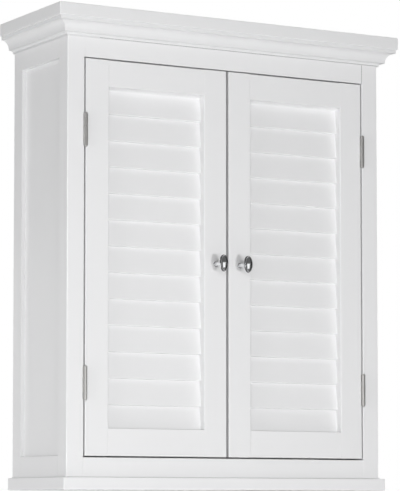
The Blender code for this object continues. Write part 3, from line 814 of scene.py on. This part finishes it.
# %% One sawn length of moulding
def crown_length(start, end, mitres):
    """A length along Y whose outward side is +X. Each mitre is a place along Y and a direction."""
    pen = Pen((crown_gap, start, crown_rise))
    pen.line((lip_out, start, crown_rise), (lip_out, start, cove_top), (cove_top_out, start, cove_top))
    narrow = (cove_top_out - cove_foot_out) / cove_tall
    pen.arc((cove_top_out, start, cove_foot), (0, 1, 0), -90, steps=16, stretch=(narrow, 1, 1))
    pen.line((cove_foot_out, start, bead_top), (bead_out, start, bead_top))
    narrow = (bead_out - bead_foot_out) / bead_tall
    pen.arc((bead_out, start, bead_foot), (0, 1, 0), -90, steps=8, stretch=(narrow, 1, 1))
    pen.line((bead_foot_out, start, crown_foot), (quirk_out, start, crown_foot))
    pen.line((quirk_out, start, quirk_foot), (last_lip_out, start, quirk_foot))
    pen.line((last_lip_out, start, lip_foot), (crown_gap, start, lip_foot))
    bm = pen.close().extruded((0, end - start, 0))
    softened(bm, paint_round, steps=2, chooses=runs_above(crown_foot))
    for place, lean in mitres:
        cut = bmesh.ops.bisect_plane(
            bm,
            geom=list(bm.verts) + list(bm.edges) + list(bm.faces),
            dist=merge_apart / 10,
            plane_co=(0, place - lean * mitre_gap, 0),
            plane_no=(-1, lean, 0),
            clear_outer=True,
        )
        bmesh.ops.holes_fill(bm, edges=of_kind(bmesh.types.BMEdge, cut["geom_cut"]), sides=0)
    return bm


# %% The three lengths
longer = 0.03


def crown(name, bm, place):
    painted(f"crown_moulding_{name}", placed(bm, place), stands_for=[f"crown_{name}"], finish=crown_painted_shade_white)


for side, name in sides:
    mirrored = Matrix.Translation((side * body_half, 0, post_top)) @ Matrix.Diagonal((side, 1, 1, 1))
    crown(name, crown_length(body_front - longer, 0.0, [(body_front, -1)]), mirrored)
across = Matrix.Translation((0, body_front, post_top)) @ Matrix.Rotation(math.radians(-90), 4, "Z")
corners = [(-body_half, -1), (body_half, 1)]
crown("front", crown_length(-body_half - longer, body_half + longer, corners), across)

# %% Painted shade in the front's quirk: a dark grey strip, a dark line that starts a little way from the left corner
shade_from_corner = 0.045
shade_strip_out = 0.0019
shade_strip_slack = 0.00002

shade_strip_low = (shade_from_corner - body_half, body_front - shade_strip_out, post_top + quirk_foot + shade_strip_slack)
shade_strip_high = (body_half, body_front - quirk_out - shade_strip_slack, post_top + crown_foot - shade_strip_slack)
painted("crown_joint_dust", block(shade_strip_low, shade_strip_high), finish=painted_gap_shade)

# %% [markdown]
# ## The slats
#
# Each door holds thirteen slats. A slat is a thin board with a rounded lower edge that leans back, so
# that its top slips behind the foot of the slat above. From the front the door shows thirteen
# bands, and light that comes from below catches the rounded feet as fine bright lines. The CAD has one
# solid for a door's louvre. Here each slat is a shape of its own.

# %% Slat sizes
slat_count = 13
slat_recess = 0.0085
slat_step = 0.004
slat_thick = 0.0038
slat_lap = 0.004
lowest_slat_sunk = 0.0039
foot_round = 0.0011
back_round = 0.0008

field_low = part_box("left_door_bottom_rail")[1].z
field_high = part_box("left_door_top_rail")[0].z
slats_low = field_low - lowest_slat_sunk
slat_pitch = (field_high - slats_low) / slat_count
slat_lean = math.atan2(slat_step, slat_pitch)
print(f"Slats every {slat_pitch * 1000:.2f} mm, leaning back {math.degrees(slat_lean):.1f} degrees")


# %% A slat, and the louvre of each door
def slat(wide):
    """One slat, upright, its foot on Z = 0 and its front face in Y = 0."""
    tall = (slat_pitch + slat_lap) / math.cos(slat_lean)
    left = -wide / 2
    back = slat_thick - back_round
    pen = Pen((left, 0, foot_round)).arc((left, foot_round, foot_round), (1, 0, 0), 90, steps=5)
    pen.line((left, back, 0)).arc((left, back, back_round), (1, 0, 0), 90, steps=4)
    pen.line((left, slat_thick, tall - back_round))
    pen.arc((left, back, tall - back_round), (1, 0, 0), 90, steps=4)
    return pen.line((left, 0, tall)).close().extruded((wide, 0, 0))


for side, name in sides:
    low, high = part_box(f"{name}_door_louvre")
    slats = []
    for number in range(slat_count):
        foot = ((low.x + high.x) / 2, body_front + slat_recess, slats_low + number * slat_pitch)
        place = Matrix.Translation(foot) @ Matrix.Rotation(-slat_lean, 4, "X")
        slats.append(placed(slat(high.x - low.x), place))
    louvre = [f"{name}_door_louvre"]
    painted(f"{name}_slats", joined(slats), f"{name}_door", louvre, sharp_deg=50, flat_faces=True)

# %% [markdown]
# ## Paint in the corners of the fields
#
# Where the slats meet the frame of a door, the sprayer fills the inner corners. The paint lies there
# as a small hollow fillet, which catches the light instead of showing a black seam. Each slat has one
# at each end that follows its lean, and a larger one softens the shadow under the top rail.

# %% Fillet sizes
fillet_size = 0.0010
fillet_end_gap = 0.0002
top_fillet_drop = 0.0034
top_fillet_out = 0.0112
fillet_steps = 4
fillet_slack = 0.00003


def fillet(start, along, inward, outward, size, reach=None):
    """A hollow fillet that runs from a corner point, between two walls that meet along it.

    It covers the size of the wall that runs inward, and the reach of the one that runs outward.
    """
    along, inward, outward = Vector(along), Vector(inward), Vector(outward)
    reach = reach or size
    pen = Pen((0, 0, 0)).line((size, 0, 0))
    pen.arc((size, reach, 0), (0, 0, 1), -90, fillet_steps, stretch=(1, reach / size, 1)).close()
    bm = pen.extruded((0, 0, along.length))
    axes = Matrix((inward.normalized(), outward.normalized(), along.normalized())).transposed().to_4x4()
    return placed(bm, Matrix.Translation(start) @ axes)


# %% The fillets of each door
lean_run = Vector((0, slat_step, slat_pitch))
lean_out = Vector((0, -slat_pitch, slat_step)).normalized()
for side, name in sides:
    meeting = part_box(f"{name}_door_meeting_stile")
    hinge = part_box(f"{name}_door_hinge_stile")
    left, right = (hinge[1].x, meeting[0].x) if side < 0 else (meeting[1].x, hinge[0].x)
    fillets = []
    for number in range(slat_count):
        slat_foot = slats_low + number * slat_pitch
        shown_foot = max(slat_foot, field_low)
        hidden_share = (shown_foot - slat_foot) / slat_pitch
        face = body_front + slat_recess + hidden_share * slat_step
        run = (1 - hidden_share) * lean_run - fillet_end_gap * lean_run.normalized()
        for x, inward in ((left + fillet_slack, 1), (right - fillet_slack, -1)):
            start = Vector((x, face, shown_foot)) + fillet_slack * lean_out
            fillets.append(fillet(start, run, (inward, 0, 0), lean_out, fillet_size))
    top_face = body_front + slat_recess + slat_step
    corner = Vector((left, top_face - fillet_slack, field_high - fillet_slack))
    along = (right - left, 0, 0)
    fillets.append(fillet(corner, along, (0, 0, -1), (0, -1, 0), top_fillet_drop, top_fillet_out))
    painted(f"{name}_corner_paint", joined(fillets), f"{name}_door")

# %% [markdown]
# ## The top rails of the sides
#
# The panel in each side reaches a little higher than the solid rail's lower edge: the rail has a
# rebate there, as deep as the panel is sunk. One section is drawn and extruded from post to post.

# %% The rebated rails
panel_recess = 0.0054
rebate_tall = 0.0045
rail_round = 0.0006
joint_wide = 0.0003
shoulder_front = body_front + post_side + joint_wide
shoulder_rear = -post_side - joint_wide

for side, name in sides:
    low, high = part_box(f"{name}_side_top_rail")
    outer, inner = (high.x, low.x) if side > 0 else (low.x, high.x)
    step = low.z + rebate_tall
    sunk = outer - side * panel_recess
    corners = [(outer, step), (sunk, step), (sunk, low.z), (inner, low.z), (inner, high.z)]
    pen = Pen((outer, shoulder_front, high.z)).line(*[(x, shoulder_front, z) for x, z in corners])
    bar = pen.close().extruded((0, shoulder_rear - shoulder_front, 0))
    rail = softened(bar, rail_round, chooses=runs_above(low.z))
    painted(f"{name}_rebated_rail", rail, "cabinet", [f"{name}_side_top_rail"], flat_faces=True)

# %% [markdown]
# ## Paint in the joints
#
# Sprayed paint bridges the joints of a wooden frame and leaves only a faint line. The solids keep a
# true gap of a third of a millimetre there, and the posts and stiles have rounded edges. A filler
# with the shape of that hollow closes it almost to the surface. On the right post the joint with the
# top rail has opened, and there a dark grey filler paints the shade in the gap.

# %% The filler
joint_slack = 0.00002
joint_deep = 0.0025
filled_sunk = 0.00012
round_deep = 0.00095
round_fill = ((-0.00052, 0.00012), (-0.00035, 0.00022), (-0.00020, 0.00038))


def filler(edge, towards, face, inward, low, high):
    """Fills the gap beside an upright's rounded edge, all along a rail's end, from low to high.

    The edge is a place along X, the gap lies towards +X or -X of it, and the face is a place along Y
    with the wood inward of it.
    """
    near = edge + towards * joint_slack
    far = edge + towards * (joint_wide - joint_slack)
    corners = [(far, face + inward * filled_sunk)]
    corners += [(edge + towards * u, face + inward * v) for u, v in round_fill]
    corners += [(near, face + inward * deep) for deep in (round_deep, joint_deep)]
    corners.append((far, face + inward * joint_deep))
    foot, head = low.z + joint_slack, high.z - joint_slack
    pen = Pen((*corners[0], foot)).line(*[(x, y, foot) for x, y in corners[1:]]).close()
    return pen.extruded((0, 0, head - foot))


for side, name in sides:
    fillers = []
    for stile, towards in (("meeting", side), ("hinge", -side)):
        low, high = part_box(f"{name}_door_{stile}_stile")
        edge = high.x if towards > 0 else low.x
        for rail in ("top", "bottom"):
            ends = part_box(f"{name}_door_{rail}_rail")
            fillers.append(filler(edge, towards, low.y, 1, *ends))
            fillers.append(filler(edge, towards, high.y, -1, *ends))
    painted(f"{name}_door_joint_paint", joined(fillers), f"{name}_door")

# %% The joints at the front of the carcass, and the corner above the board at its foot
foot_fillet_size = 0.0014
foot_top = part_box("bottom_board")[1].z + fillet_slack

start = (-body_half - foot_fillet_size, body_front + fillet_slack, foot_top)
along = (2 * (body_half + foot_fillet_size), 0, 0)
carcass_paint = [fillet(start, along, (0, 0, 1), (0, -1, 0), foot_fillet_size)]
for side, name in sides:
    for rail in ("top", "bottom"):
        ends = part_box(f"front_{rail}_rail")
        made = filler(side * (body_half - post_side), -side, body_front, 1, *ends)
        if (name, rail) == ("right", "top"):
            # Painted shade: this open joint is filled with dark grey to stand for the shadow inside it.
            painted("open_joint_painted_shade", made, finish=painted_gap_shade)
        else:
            carcass_paint.append(made)
    start = (side * (body_half - fillet_slack), body_front - foot_fillet_size, foot_top)
    along = (0, foot_fillet_size - body_front, 0)
    carcass_paint.append(fillet(start, along, (0, 0, 1), (side, 0, 0), foot_fillet_size))

# %% The joints of the sides, and the corners round their panels
panel_fillet_size = 0.0005
strip_sunk = 0.0002
strip_deep = 0.002
swap_x_and_y = Matrix(((0, 1, 0, 0), (1, 0, 0, 0), (0, 0, 1, 0), (0, 0, 0, 1)))
post_inner = body_front + post_side
front_y = post_inner + fillet_slack
rear_y = -post_side - fillet_slack

for side, name in sides:
    bottom, top = (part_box(f"{name}_side_{rail}_rail") for rail in ("bottom", "top"))
    for ends in (bottom, top):
        for edge, towards in ((post_inner, 1), (-post_side, -1)):
            made = filler(edge, towards, side * body_half, -side, *ends)
            carcass_paint.append(placed(made, swap_x_and_y))
    face = side * (body_half - panel_recess + fillet_slack)
    floor_z, ceiling_z = bottom[1].z, top[0].z + rebate_tall
    along = (0, 0, ceiling_z - floor_z)
    for y, inward in ((front_y, 1), (rear_y, -1)):
        corner = (face, y, floor_z)
        carcass_paint.append(fillet(corner, along, (0, inward, 0), (side, 0, 0), panel_fillet_size))
    along = (0, rear_y - front_y, 0)
    for z, inward in ((floor_z + fillet_slack, 1), (ceiling_z - fillet_slack, -1)):
        corner = (face, front_y, z)
        carcass_paint.append(fillet(corner, along, (0, 0, inward), (side, 0, 0), panel_fillet_size))
    left, right = sorted((face - side * strip_sunk, face - side * strip_deep))
    join = top[0].z
    carcass_paint.append(block((left, front_y, join - joint_wide), (right, rear_y, join)))
painted("cabinet_joint_paint", joined(carcass_paint))

# %% [markdown]
# ## The chrome knobs
#
# A knob has a round foot, a waisted neck and an upright oval head, all in one polished casting. It
# starts as a lathe profile drawn with arcs and is spun round. Every point of the head is then pushed
# up or down from the middle, more and more along the neck, which turns the round head into an oval.
# A dense spin matters here: a mirror finish shows every facet.

# %% Knob sizes
knob_seat = 0.0003
knob_reach = 0.0280
foot_radius = 0.0035
foot_thick = 0.0012
foot_edge = 0.0004
neck_radius = 0.0027
neck_end = 0.0143
neck_fillet = 0.0026
neck_fillet_deg = 46.0
neck_rings = 6
head_half_wide = 0.0059
head_half_tall = 0.0113
head_half_deep = 0.0067
oval_start = 0.0129
oval_end = 0.0174
knob_turns = 72


# %% The lathe profile
def knob_profile():
    """The profile in X, with the door at Y = 0 and the tip of the head at -Y."""
    edge_x = foot_radius - foot_edge
    pen = Pen((0, -knob_seat, 0)).line((foot_radius, -knob_seat, 0), (foot_radius, foot_edge - foot_thick, 0))
    pen.arc((edge_x, foot_edge - foot_thick, 0), (0, 0, 1), -90, steps=5)
    hollow = edge_x - neck_radius
    pen.arc((edge_x, -foot_thick - hollow, 0), (0, 0, 1), 90, steps=9)
    start = foot_thick + hollow
    run = (neck_end - start) / neck_rings
    pen.line(*[(neck_radius, -start - run * (step + 1), 0) for step in range(neck_rings)])
    pen.arc((neck_radius + neck_fillet, -neck_end, 0), (0, 0, 1), neck_fillet_deg, steps=6)
    middle = head_half_deep - knob_reach
    stretch = head_half_deep / head_half_wide
    turned_deg = math.degrees(math.atan2((pen.tip.co.y - middle) / stretch, pen.tip.co.x))
    pen.arc((0, middle, 0), (0, 0, 1), -90 - turned_deg, steps=30, stretch=(1, stretch, 1))
    pen.tip.co = (0, -knob_reach, 0)
    return pen


def ovalled(bm):
    """Pushes the head's points up and down, by a share that grows smoothly along the neck."""
    for vert in bm.verts:
        share = min(max((-vert.co.y - oval_start) / (oval_end - oval_start), 0), 1)
        smooth_share = share * share * (3 - 2 * share)
        vert.co.z *= 1 + smooth_share * (head_half_tall / head_half_wide - 1)
    return bm


for side, name in sides:
    at = middle_of(f"{name}_knob")
    shape = ovalled(knob_profile().spun((0, 1, 0), knob_turns))
    shape = placed(shape, Matrix.Translation((at.x, body_front, at.z)))
    piece(f"{name}_chrome_knob", shape, chrome, f"{name}_door", "chrome", [f"{name}_knob"], sharp_deg=60)

# %% [markdown]
# ## Screws
#
# Small screws tell the eye how big a thing is, so they get a real cross recess. The flat of the head
# is a disc with a cross left out of its middle. The cross is extruded down and in for the recess, and
# the disc's rim is extruded from ring to ring for the head's edge and the shank.

# %% A cross-headed screw
recess_taper_share = 0.55


def crossed_screw(rings, cross_reach, cross_half_wide, cross_deep):
    """A screw along -Z. The rings are (radius, height) from the head's flat down to the point."""
    flat, top = rings[0]
    pen = Pen((cross_reach, -cross_half_wide, top))
    for quarter in range(4):
        turn = Matrix.Rotation(math.radians(90 * quarter), 3, "Z")
        corners = [(cross_reach, cross_half_wide, top), (cross_half_wide, cross_half_wide, top)]
        if quarter < 3:
            corners.append((cross_half_wide, cross_reach, top))
        pen.line(*[turn @ Vector(corner) for corner in corners])
    bm = pen.close().bm
    cross = list(bm.edges)
    ring(bm, flat, (0, 0, top))
    rim = [edge for edge in bm.edges if edge not in cross]
    filled(bm)
    recess = [(recess_taper_share * cross_reach, top - cross_deep)]
    for wire, last, steps in ((cross, cross_reach, recess), (rim, flat, rings[1:])):
        for radius, height in steps:
            grown = bmesh.ops.extrude_edge_only(bm, edges=wire)["geom"]
            verts = of_kind(bmesh.types.BMVert, grown)
            wire = of_kind(bmesh.types.BMEdge, grown)
            bmesh.ops.scale(bm, vec=(radius / last, radius / last, 1), verts=verts)
            bmesh.ops.translate(bm, vec=(0, 0, height - verts[0].co.z), verts=verts)
            last = radius
        bmesh.ops.contextual_create(bm, geom=wire)
    return bm


# %% The two kinds of head
# The shares are of the head's radius or height, and those of a point are of the shank's radius.
dome_flat_share = 0.5
dome_rim_share = 0.35
pan_cross_shares = (0.55, 0.12, 0.6)
pan_point_share = 0.3
pan_point = 0.001
flat_face_share = 0.96
flat_rim_drop = 0.00006
flat_cross_shares = (0.6, 0.14, 0.7)
flat_point_share = 0.2
flat_point = 0.002


def headed(rings, radius, tall, shares):
    """A screw whose cross recess is sized by shares of its head."""
    reach, wide, deep = shares
    return crossed_screw(rings, radius * reach, radius * wide, tall * deep)


def pan_screw(head_radius, head_tall, shank_radius, long):
    """A domed head that stands on the surface in Z = 0."""
    dome_out, dome_up = head_radius * (1 - dome_flat_share), head_tall * (1 - dome_rim_share)
    rings = []
    for turn in map(math.radians, (30, 45, 60, 75, 90)):
        out = head_radius * dome_flat_share + dome_out * math.sin(turn)
        rings.append((out, head_tall * dome_rim_share + dome_up * math.cos(turn)))
    rings += [(head_radius, 0), (shank_radius, 0), (shank_radius, -long)]
    rings.append((shank_radius * pan_point_share, -long - pan_point))
    return headed(rings, head_radius, head_tall, pan_cross_shares)


def flat_screw(head_radius, head_deep, shank_radius, long):
    """A countersunk head that lies level with the surface in Z = 0."""
    rings = [(head_radius * flat_face_share, 0), (head_radius, -flat_rim_drop), (shank_radius, -head_deep)]
    rings += [(shank_radius, -long), (shank_radius * flat_point_share, -long - flat_point)]
    return headed(rings, head_radius, head_deep, flat_cross_shares)


def driven(screw, at, direction):
    """Stands a screw at a point with its head looking along a direction."""
    turn = Vector(direction).to_track_quat("Z", "Y").to_matrix().to_4x4()
    return placed(screw, Matrix.Translation(at) @ turn)


print("Screw helpers ready")

# %% [markdown]
# ## Drilled plates
#
# Hinge leaves and strike plates are stamped from sheet steel and countersunk. The plate's outline and
# its holes are filled as one flat face with holes in it, extruded to the sheet's thickness, and the
# upper rims of the holes are widened into countersinks.

# %% A flat plate with countersunk holes
rim_slack = 1.05


def drilled_plate(outline, holes, thick, hole_radius, sunk_radius):
    """Fills a closed pen outline in Z = 0 around its holes and thickens it towards +Z."""
    bm = outline.bm
    for u, v in holes:
        ring(bm, hole_radius, (u, v, 0))
    upper = thickened(bm, filled(bm), (0, 0, thick))
    wider = sunk_radius / hole_radius
    for u, v in holes:
        centre = Vector((u, v, thick))
        rim = [vert for vert in upper if (vert.co - centre).length < hole_radius * rim_slack]
        bmesh.ops.scale(bm, vec=(wider, wider, 1), space=Matrix.Translation(-centre), verts=rim)
    return bm


# %% [markdown]
# ## The hinges
#
# A butt hinge is two leaves whose front edges are rolled round a pin, in five interleaved knuckles.
# Two leaves and a pin are three pieces on the real thing, and stay three pieces here. Only the
# knuckles show when a door is shut. The leaves, with their screws, show when it opens.

# %% Hinge sizes
hinge_tall = 0.041
knuckle_count = 5
knuckle_radius = 0.0024
knuckle_gap = 0.00012
bore_radius = 0.0013
leaf_face = 0.00095
leaf_thick = 0.001
leaf_deep = 0.016
leaf_corner = 0.003
leaf_inset = 0.0027
leaf_hole_shares = ((0.3, -0.68), (0.68, 0.0), (0.3, 0.68))
leaf_hole = 0.0014
leaf_sink = 0.0027
leaf_screw_sizes = (0.0025, 0.0011, 0.0013, 0.010)
head_sunk = 0.00008
pin_radius = 0.0012
pin_slack = 0.00015
tip_radius = 0.0020
tip_tall = 0.0014


# %% A rolled knuckle
def knuckle(side, low, high):
    """A tube round the pin whose lip runs back to the leaf. Its axis is Z through the origin."""
    near, far = leaf_face, leaf_face + leaf_thick
    start, end = (math.degrees(math.acos(out / knuckle_radius)) for out in (far, near))
    tall = knuckle_radius * math.sin(math.radians(start))
    pen = Pen((far, leaf_inset, low)).line((far, tall, low))
    pen.arc((0, 0, low), (0, 0, 1), end - 360 - start, steps=36)
    bm = pen.line((near, leaf_inset, low)).close().bm
    ring(bm, bore_radius, (0, 0, low))
    thickened(bm, filled(bm), (0, 0, high - low))
    return placed(bm, Matrix.Diagonal((side, 1, 1, 1)))


# %% A leaf with its knuckles, and the matching screws
def leaf_outline():
    """The plate's outline in X (depth from the pin) and Y (height), with two round corners."""
    half = hinge_tall / 2
    far = leaf_inset + leaf_deep
    pen = Pen((leaf_inset, -half, 0)).line((far - leaf_corner, -half, 0))
    pen.arc((far - leaf_corner, leaf_corner - half, 0), (0, 0, 1), 90, steps=8)
    pen.line((far, half - leaf_corner, 0))
    pen.arc((far - leaf_corner, half - leaf_corner, 0), (0, 0, 1), 90, steps=8)
    return pen.line((leaf_inset, half, 0)).close()


def screw_places():
    return [(leaf_inset + deep * leaf_deep, tall * hinge_tall / 2) for deep, tall in leaf_hole_shares]


def leaf(side, knuckles):
    """A leaf on one side of the pin, whose countersinks look towards the other leaf."""
    plate = drilled_plate(leaf_outline(), screw_places(), leaf_thick, leaf_hole, leaf_sink)
    upright = Matrix(((0, 0, -1, leaf_face + leaf_thick), (1, 0, 0, 0), (0, 1, 0, 0), (0, 0, 0, 1)))
    shapes = [placed(plate, Matrix.Diagonal((side, 1, 1, 1)) @ upright)]
    pitch = hinge_tall / knuckle_count
    for number in knuckles:
        low = number * pitch - hinge_tall / 2 + knuckle_gap
        shapes.append(knuckle(side, low, low + pitch - 2 * knuckle_gap))
    return joined(shapes)


def leaf_screws(side, at):
    """The three flat screws of a leaf, with their heads in its countersinks."""
    screws = []
    for y, z in screw_places():
        head = Vector((side * (leaf_face + head_sunk), y, z)) + at
        screws.append(driven(flat_screw(*leaf_screw_sizes), head, (-side, 0, 0)))
    return screws


def hinge_pin():
    """A pin with a domed button at each end, spun about Z."""
    end = hinge_tall / 2 + pin_slack
    stretch = (tip_radius / tip_tall, 1, 1)
    pen = Pen((0, 0, -end - tip_tall)).arc((0, 0, -end), (0, 1, 0), -90, steps=8, stretch=stretch)
    pen.line((pin_radius, 0, -end), (pin_radius, 0, end), (tip_radius, 0, end))
    pen.arc((0, 0, end), (0, 1, 0), -90, steps=8, stretch=stretch)
    pen.tip.co = (0, 0, end + tip_tall)
    return pen.spun((0, 0, 1), steps=32)


# %% The four hinges
for side, name in sides:
    post_screws = []
    door_screws = []
    door = f"{name}_door"
    for place in ("top", "bottom"):
        title = f"{name}_{place}_hinge"
        at = middle_of(f"{title}_pin")
        there = Matrix.Translation(at)
        fixed = placed(leaf(side, range(0, knuckle_count, 2)), there)
        swung = placed(leaf(-side, range(1, knuckle_count, 2)), there)
        fitting(f"{title}_leaf_on_post", fixed, nickel, "cabinet", [f"{title}_post_leaf"])
        fitting(f"{title}_leaf_on_door", swung, nickel, door, [f"{title}_door_leaf"])
        fitting(f"{title}_round_pin", placed(hinge_pin(), there), nickel, "cabinet", [f"{title}_pin"])
        post_screws += leaf_screws(side, at)
        door_screws += leaf_screws(-side, at)
    fitting(f"{name}_post_screws", joined(post_screws), zinc, "cabinet")
    fitting(f"{name}_door_screws", joined(door_screws), zinc, door)

# %% [markdown]
# ## Catches, strikes and the knobs' screws
#
# Behind the top rail, two small magnets in white housings hold the doors shut. Each magnet lies between
# two steel plates that reach out a hair, and meets a steel strike on the door. All of it, and the
# screws that hold the knobs from inside, shows only when a door is open, but it is what a hand
# finds there.

# %% A catch: two plates and a magnet between them, in a housing with an ear at each end
plate_apart = 0.0032
plate_thick = 0.0010
plate_proud = 0.00015
plate_foot = 0.0020
plate_head = 0.0028
magnet_half = 0.0026
magnet_proud = 0.00005
magnet_foot = 0.0024
magnet_head = 0.0032
bar_deep = 0.003
bar_round = 0.0002
ear_tall = 0.0025
ear_apart = 0.0145
ear_screw_sizes = (0.0027, 0.0016, 0.0013, 0.011)


def catch_fittings(name):
    """The plates, the magnet and the screws of the catch on one side."""
    low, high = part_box(f"{name}_catch")
    at = (low + high) / 2

    def bar(offset, half, proud, foot, head):
        near = (at.x + offset - half, low.y - proud, low.z + foot)
        far = (at.x + offset + half, low.y + bar_deep, high.z - head)
        return softened(block(near, far), bar_round, steps=2)

    offsets = (-plate_apart, plate_apart)
    plates = [bar(offset, plate_thick / 2, plate_proud, plate_foot, plate_head) for offset in offsets]
    fitting(f"{name}_magnet_plates", joined(plates), magnet, "cabinet")
    fitting(f"{name}_magnet", bar(0, magnet_half, magnet_proud, magnet_foot, magnet_head), magnet, "cabinet")
    screws = []
    for x in (at.x - ear_apart, at.x + ear_apart):
        screws.append(driven(pan_screw(*ear_screw_sizes), (x, at.y, high.z - ear_tall), (0, 0, -1)))
    fitting(f"{name}_catch_screws", joined(screws), zinc, "cabinet")


# %% A strike, a countersunk plate on the back of the door
strike_corner = 0.002
strike_hole = 0.0016
strike_sink = 0.0028
strike_screw_sizes = (0.0026, 0.0011, 0.0013, 0.010)
facing_back = Matrix(((-1, 0, 0, 0), (0, 0, 1, 0), (0, 1, 0, 0), (0, 0, 0, 1)))


def strike_outline(half_wide, half_tall):
    """An outline in Z = 0 with four round corners."""
    x, y = half_wide - strike_corner, half_tall - strike_corner
    runs = (
        ((x, -half_tall, 0), (x, -y, 0)),
        ((half_wide, y, 0), (x, y, 0)),
        ((-x, half_tall, 0), (-x, y, 0)),
        ((-half_wide, -y, 0), (-x, -y, 0)),
    )
    pen = Pen((-x, -half_tall, 0))
    for end, centre in runs:
        pen.line(end).arc(centre, (0, 0, 1), 90, steps=6)
    bmesh.ops.remove_doubles(pen.bm, verts=pen.bm.verts, dist=10 * merge_apart)
    return pen


def strike_fittings(name):
    """The strike plate and its screw on one side."""
    low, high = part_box(f"{name}_strike")
    at, half = (low + high) / 2, (high - low) / 2
    plate = drilled_plate(strike_outline(half.x, half.z), [(0, 0)], high.y - low.y, strike_hole, strike_sink)
    stand = Matrix.Translation((at.x, low.y, at.z)) @ facing_back
    fitting(f"{name}_strike_plate", placed(plate, stand), nickel, f"{name}_door", [f"{name}_strike"])
    screw = driven(flat_screw(*strike_screw_sizes), (at.x, high.y - head_sunk, at.z), (0, 1, 0))
    fitting(f"{name}_strike_screw", screw, zinc, f"{name}_door")


for side, name in sides:
    catch_fittings(name)
    strike_fittings(name)

# %% The screws behind the knobs
washer_gap = 0.0003
knob_screw_head = (0.0040, 0.0022)
knob_screw_shank = 0.0018
for side, name in sides:
    at = middle_of(f"{name}_knob_screw")
    door_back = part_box(f"{name}_door_meeting_stile")[1].y
    long = door_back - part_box(f"{name}_knob_screw")[0].y - pan_point
    shape = pan_screw(*knob_screw_head, knob_screw_shank, long)
    shape = driven(shape, (at.x, door_back + washer_gap, at.z), (0, 1, 0))
    fitting(f"{name}_knob_fixing", shape, zinc, f"{name}_door", [f"{name}_knob_screw"])

# %% [markdown]
# ## Shelf pins
#
# Four little turned pins with a collar hold the shelf, two on each side.

# %% Shelf pins
stem_radius = 0.0025
stem_buried = 0.0080
stem_reach = 0.0095
stem_edge = 0.0004
stem_round = 0.0010
collar_radius = 0.0040
collar_start = 0.0003
collar_end = 0.0015
collar_rear_edge = 0.0002
collar_front_edge = 0.0003


def shelf_pin():
    """A pin along +X from inside the panel to its rounded end, drawn as (place, radius)."""
    outline = (
        (-stem_buried, stem_radius - stem_edge),
        (stem_edge - stem_buried, stem_radius),
        (collar_start, stem_radius),
        (collar_start, collar_radius - collar_rear_edge),
        (collar_start + collar_rear_edge, collar_radius),
        (collar_end - collar_front_edge, collar_radius),
        (collar_end, collar_radius - collar_front_edge),
        (collar_end, stem_radius),
        (stem_reach - stem_round, stem_radius),
    )
    pen = Pen((-stem_buried, 0, 0)).line(*[(x, 0, radius) for x, radius in outline])
    pen.arc((stem_reach - stem_round, 0, stem_radius - stem_round), (0, 1, 0), 90, steps=6)
    return pen.line((stem_reach, 0, 0)).spun((1, 0, 0), steps=32)


for side, name in sides:
    panel_low, panel_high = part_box(f"{name}_side_panel")
    wall = panel_high.x if side < 0 else panel_low.x
    for place in ("front", "rear"):
        title = f"{name}_{place}"
        at = middle_of(f"{title}_shelf_pin")
        stand = Matrix.Translation((wall, at.y, at.z)) @ Matrix.Diagonal((-side, 1, 1, 1))
        made = placed(shelf_pin(), stand)
        fitting(f"{title}_turned_pin", made, nickel, "cabinet", [f"{title}_shelf_pin"], sharp_deg=40)
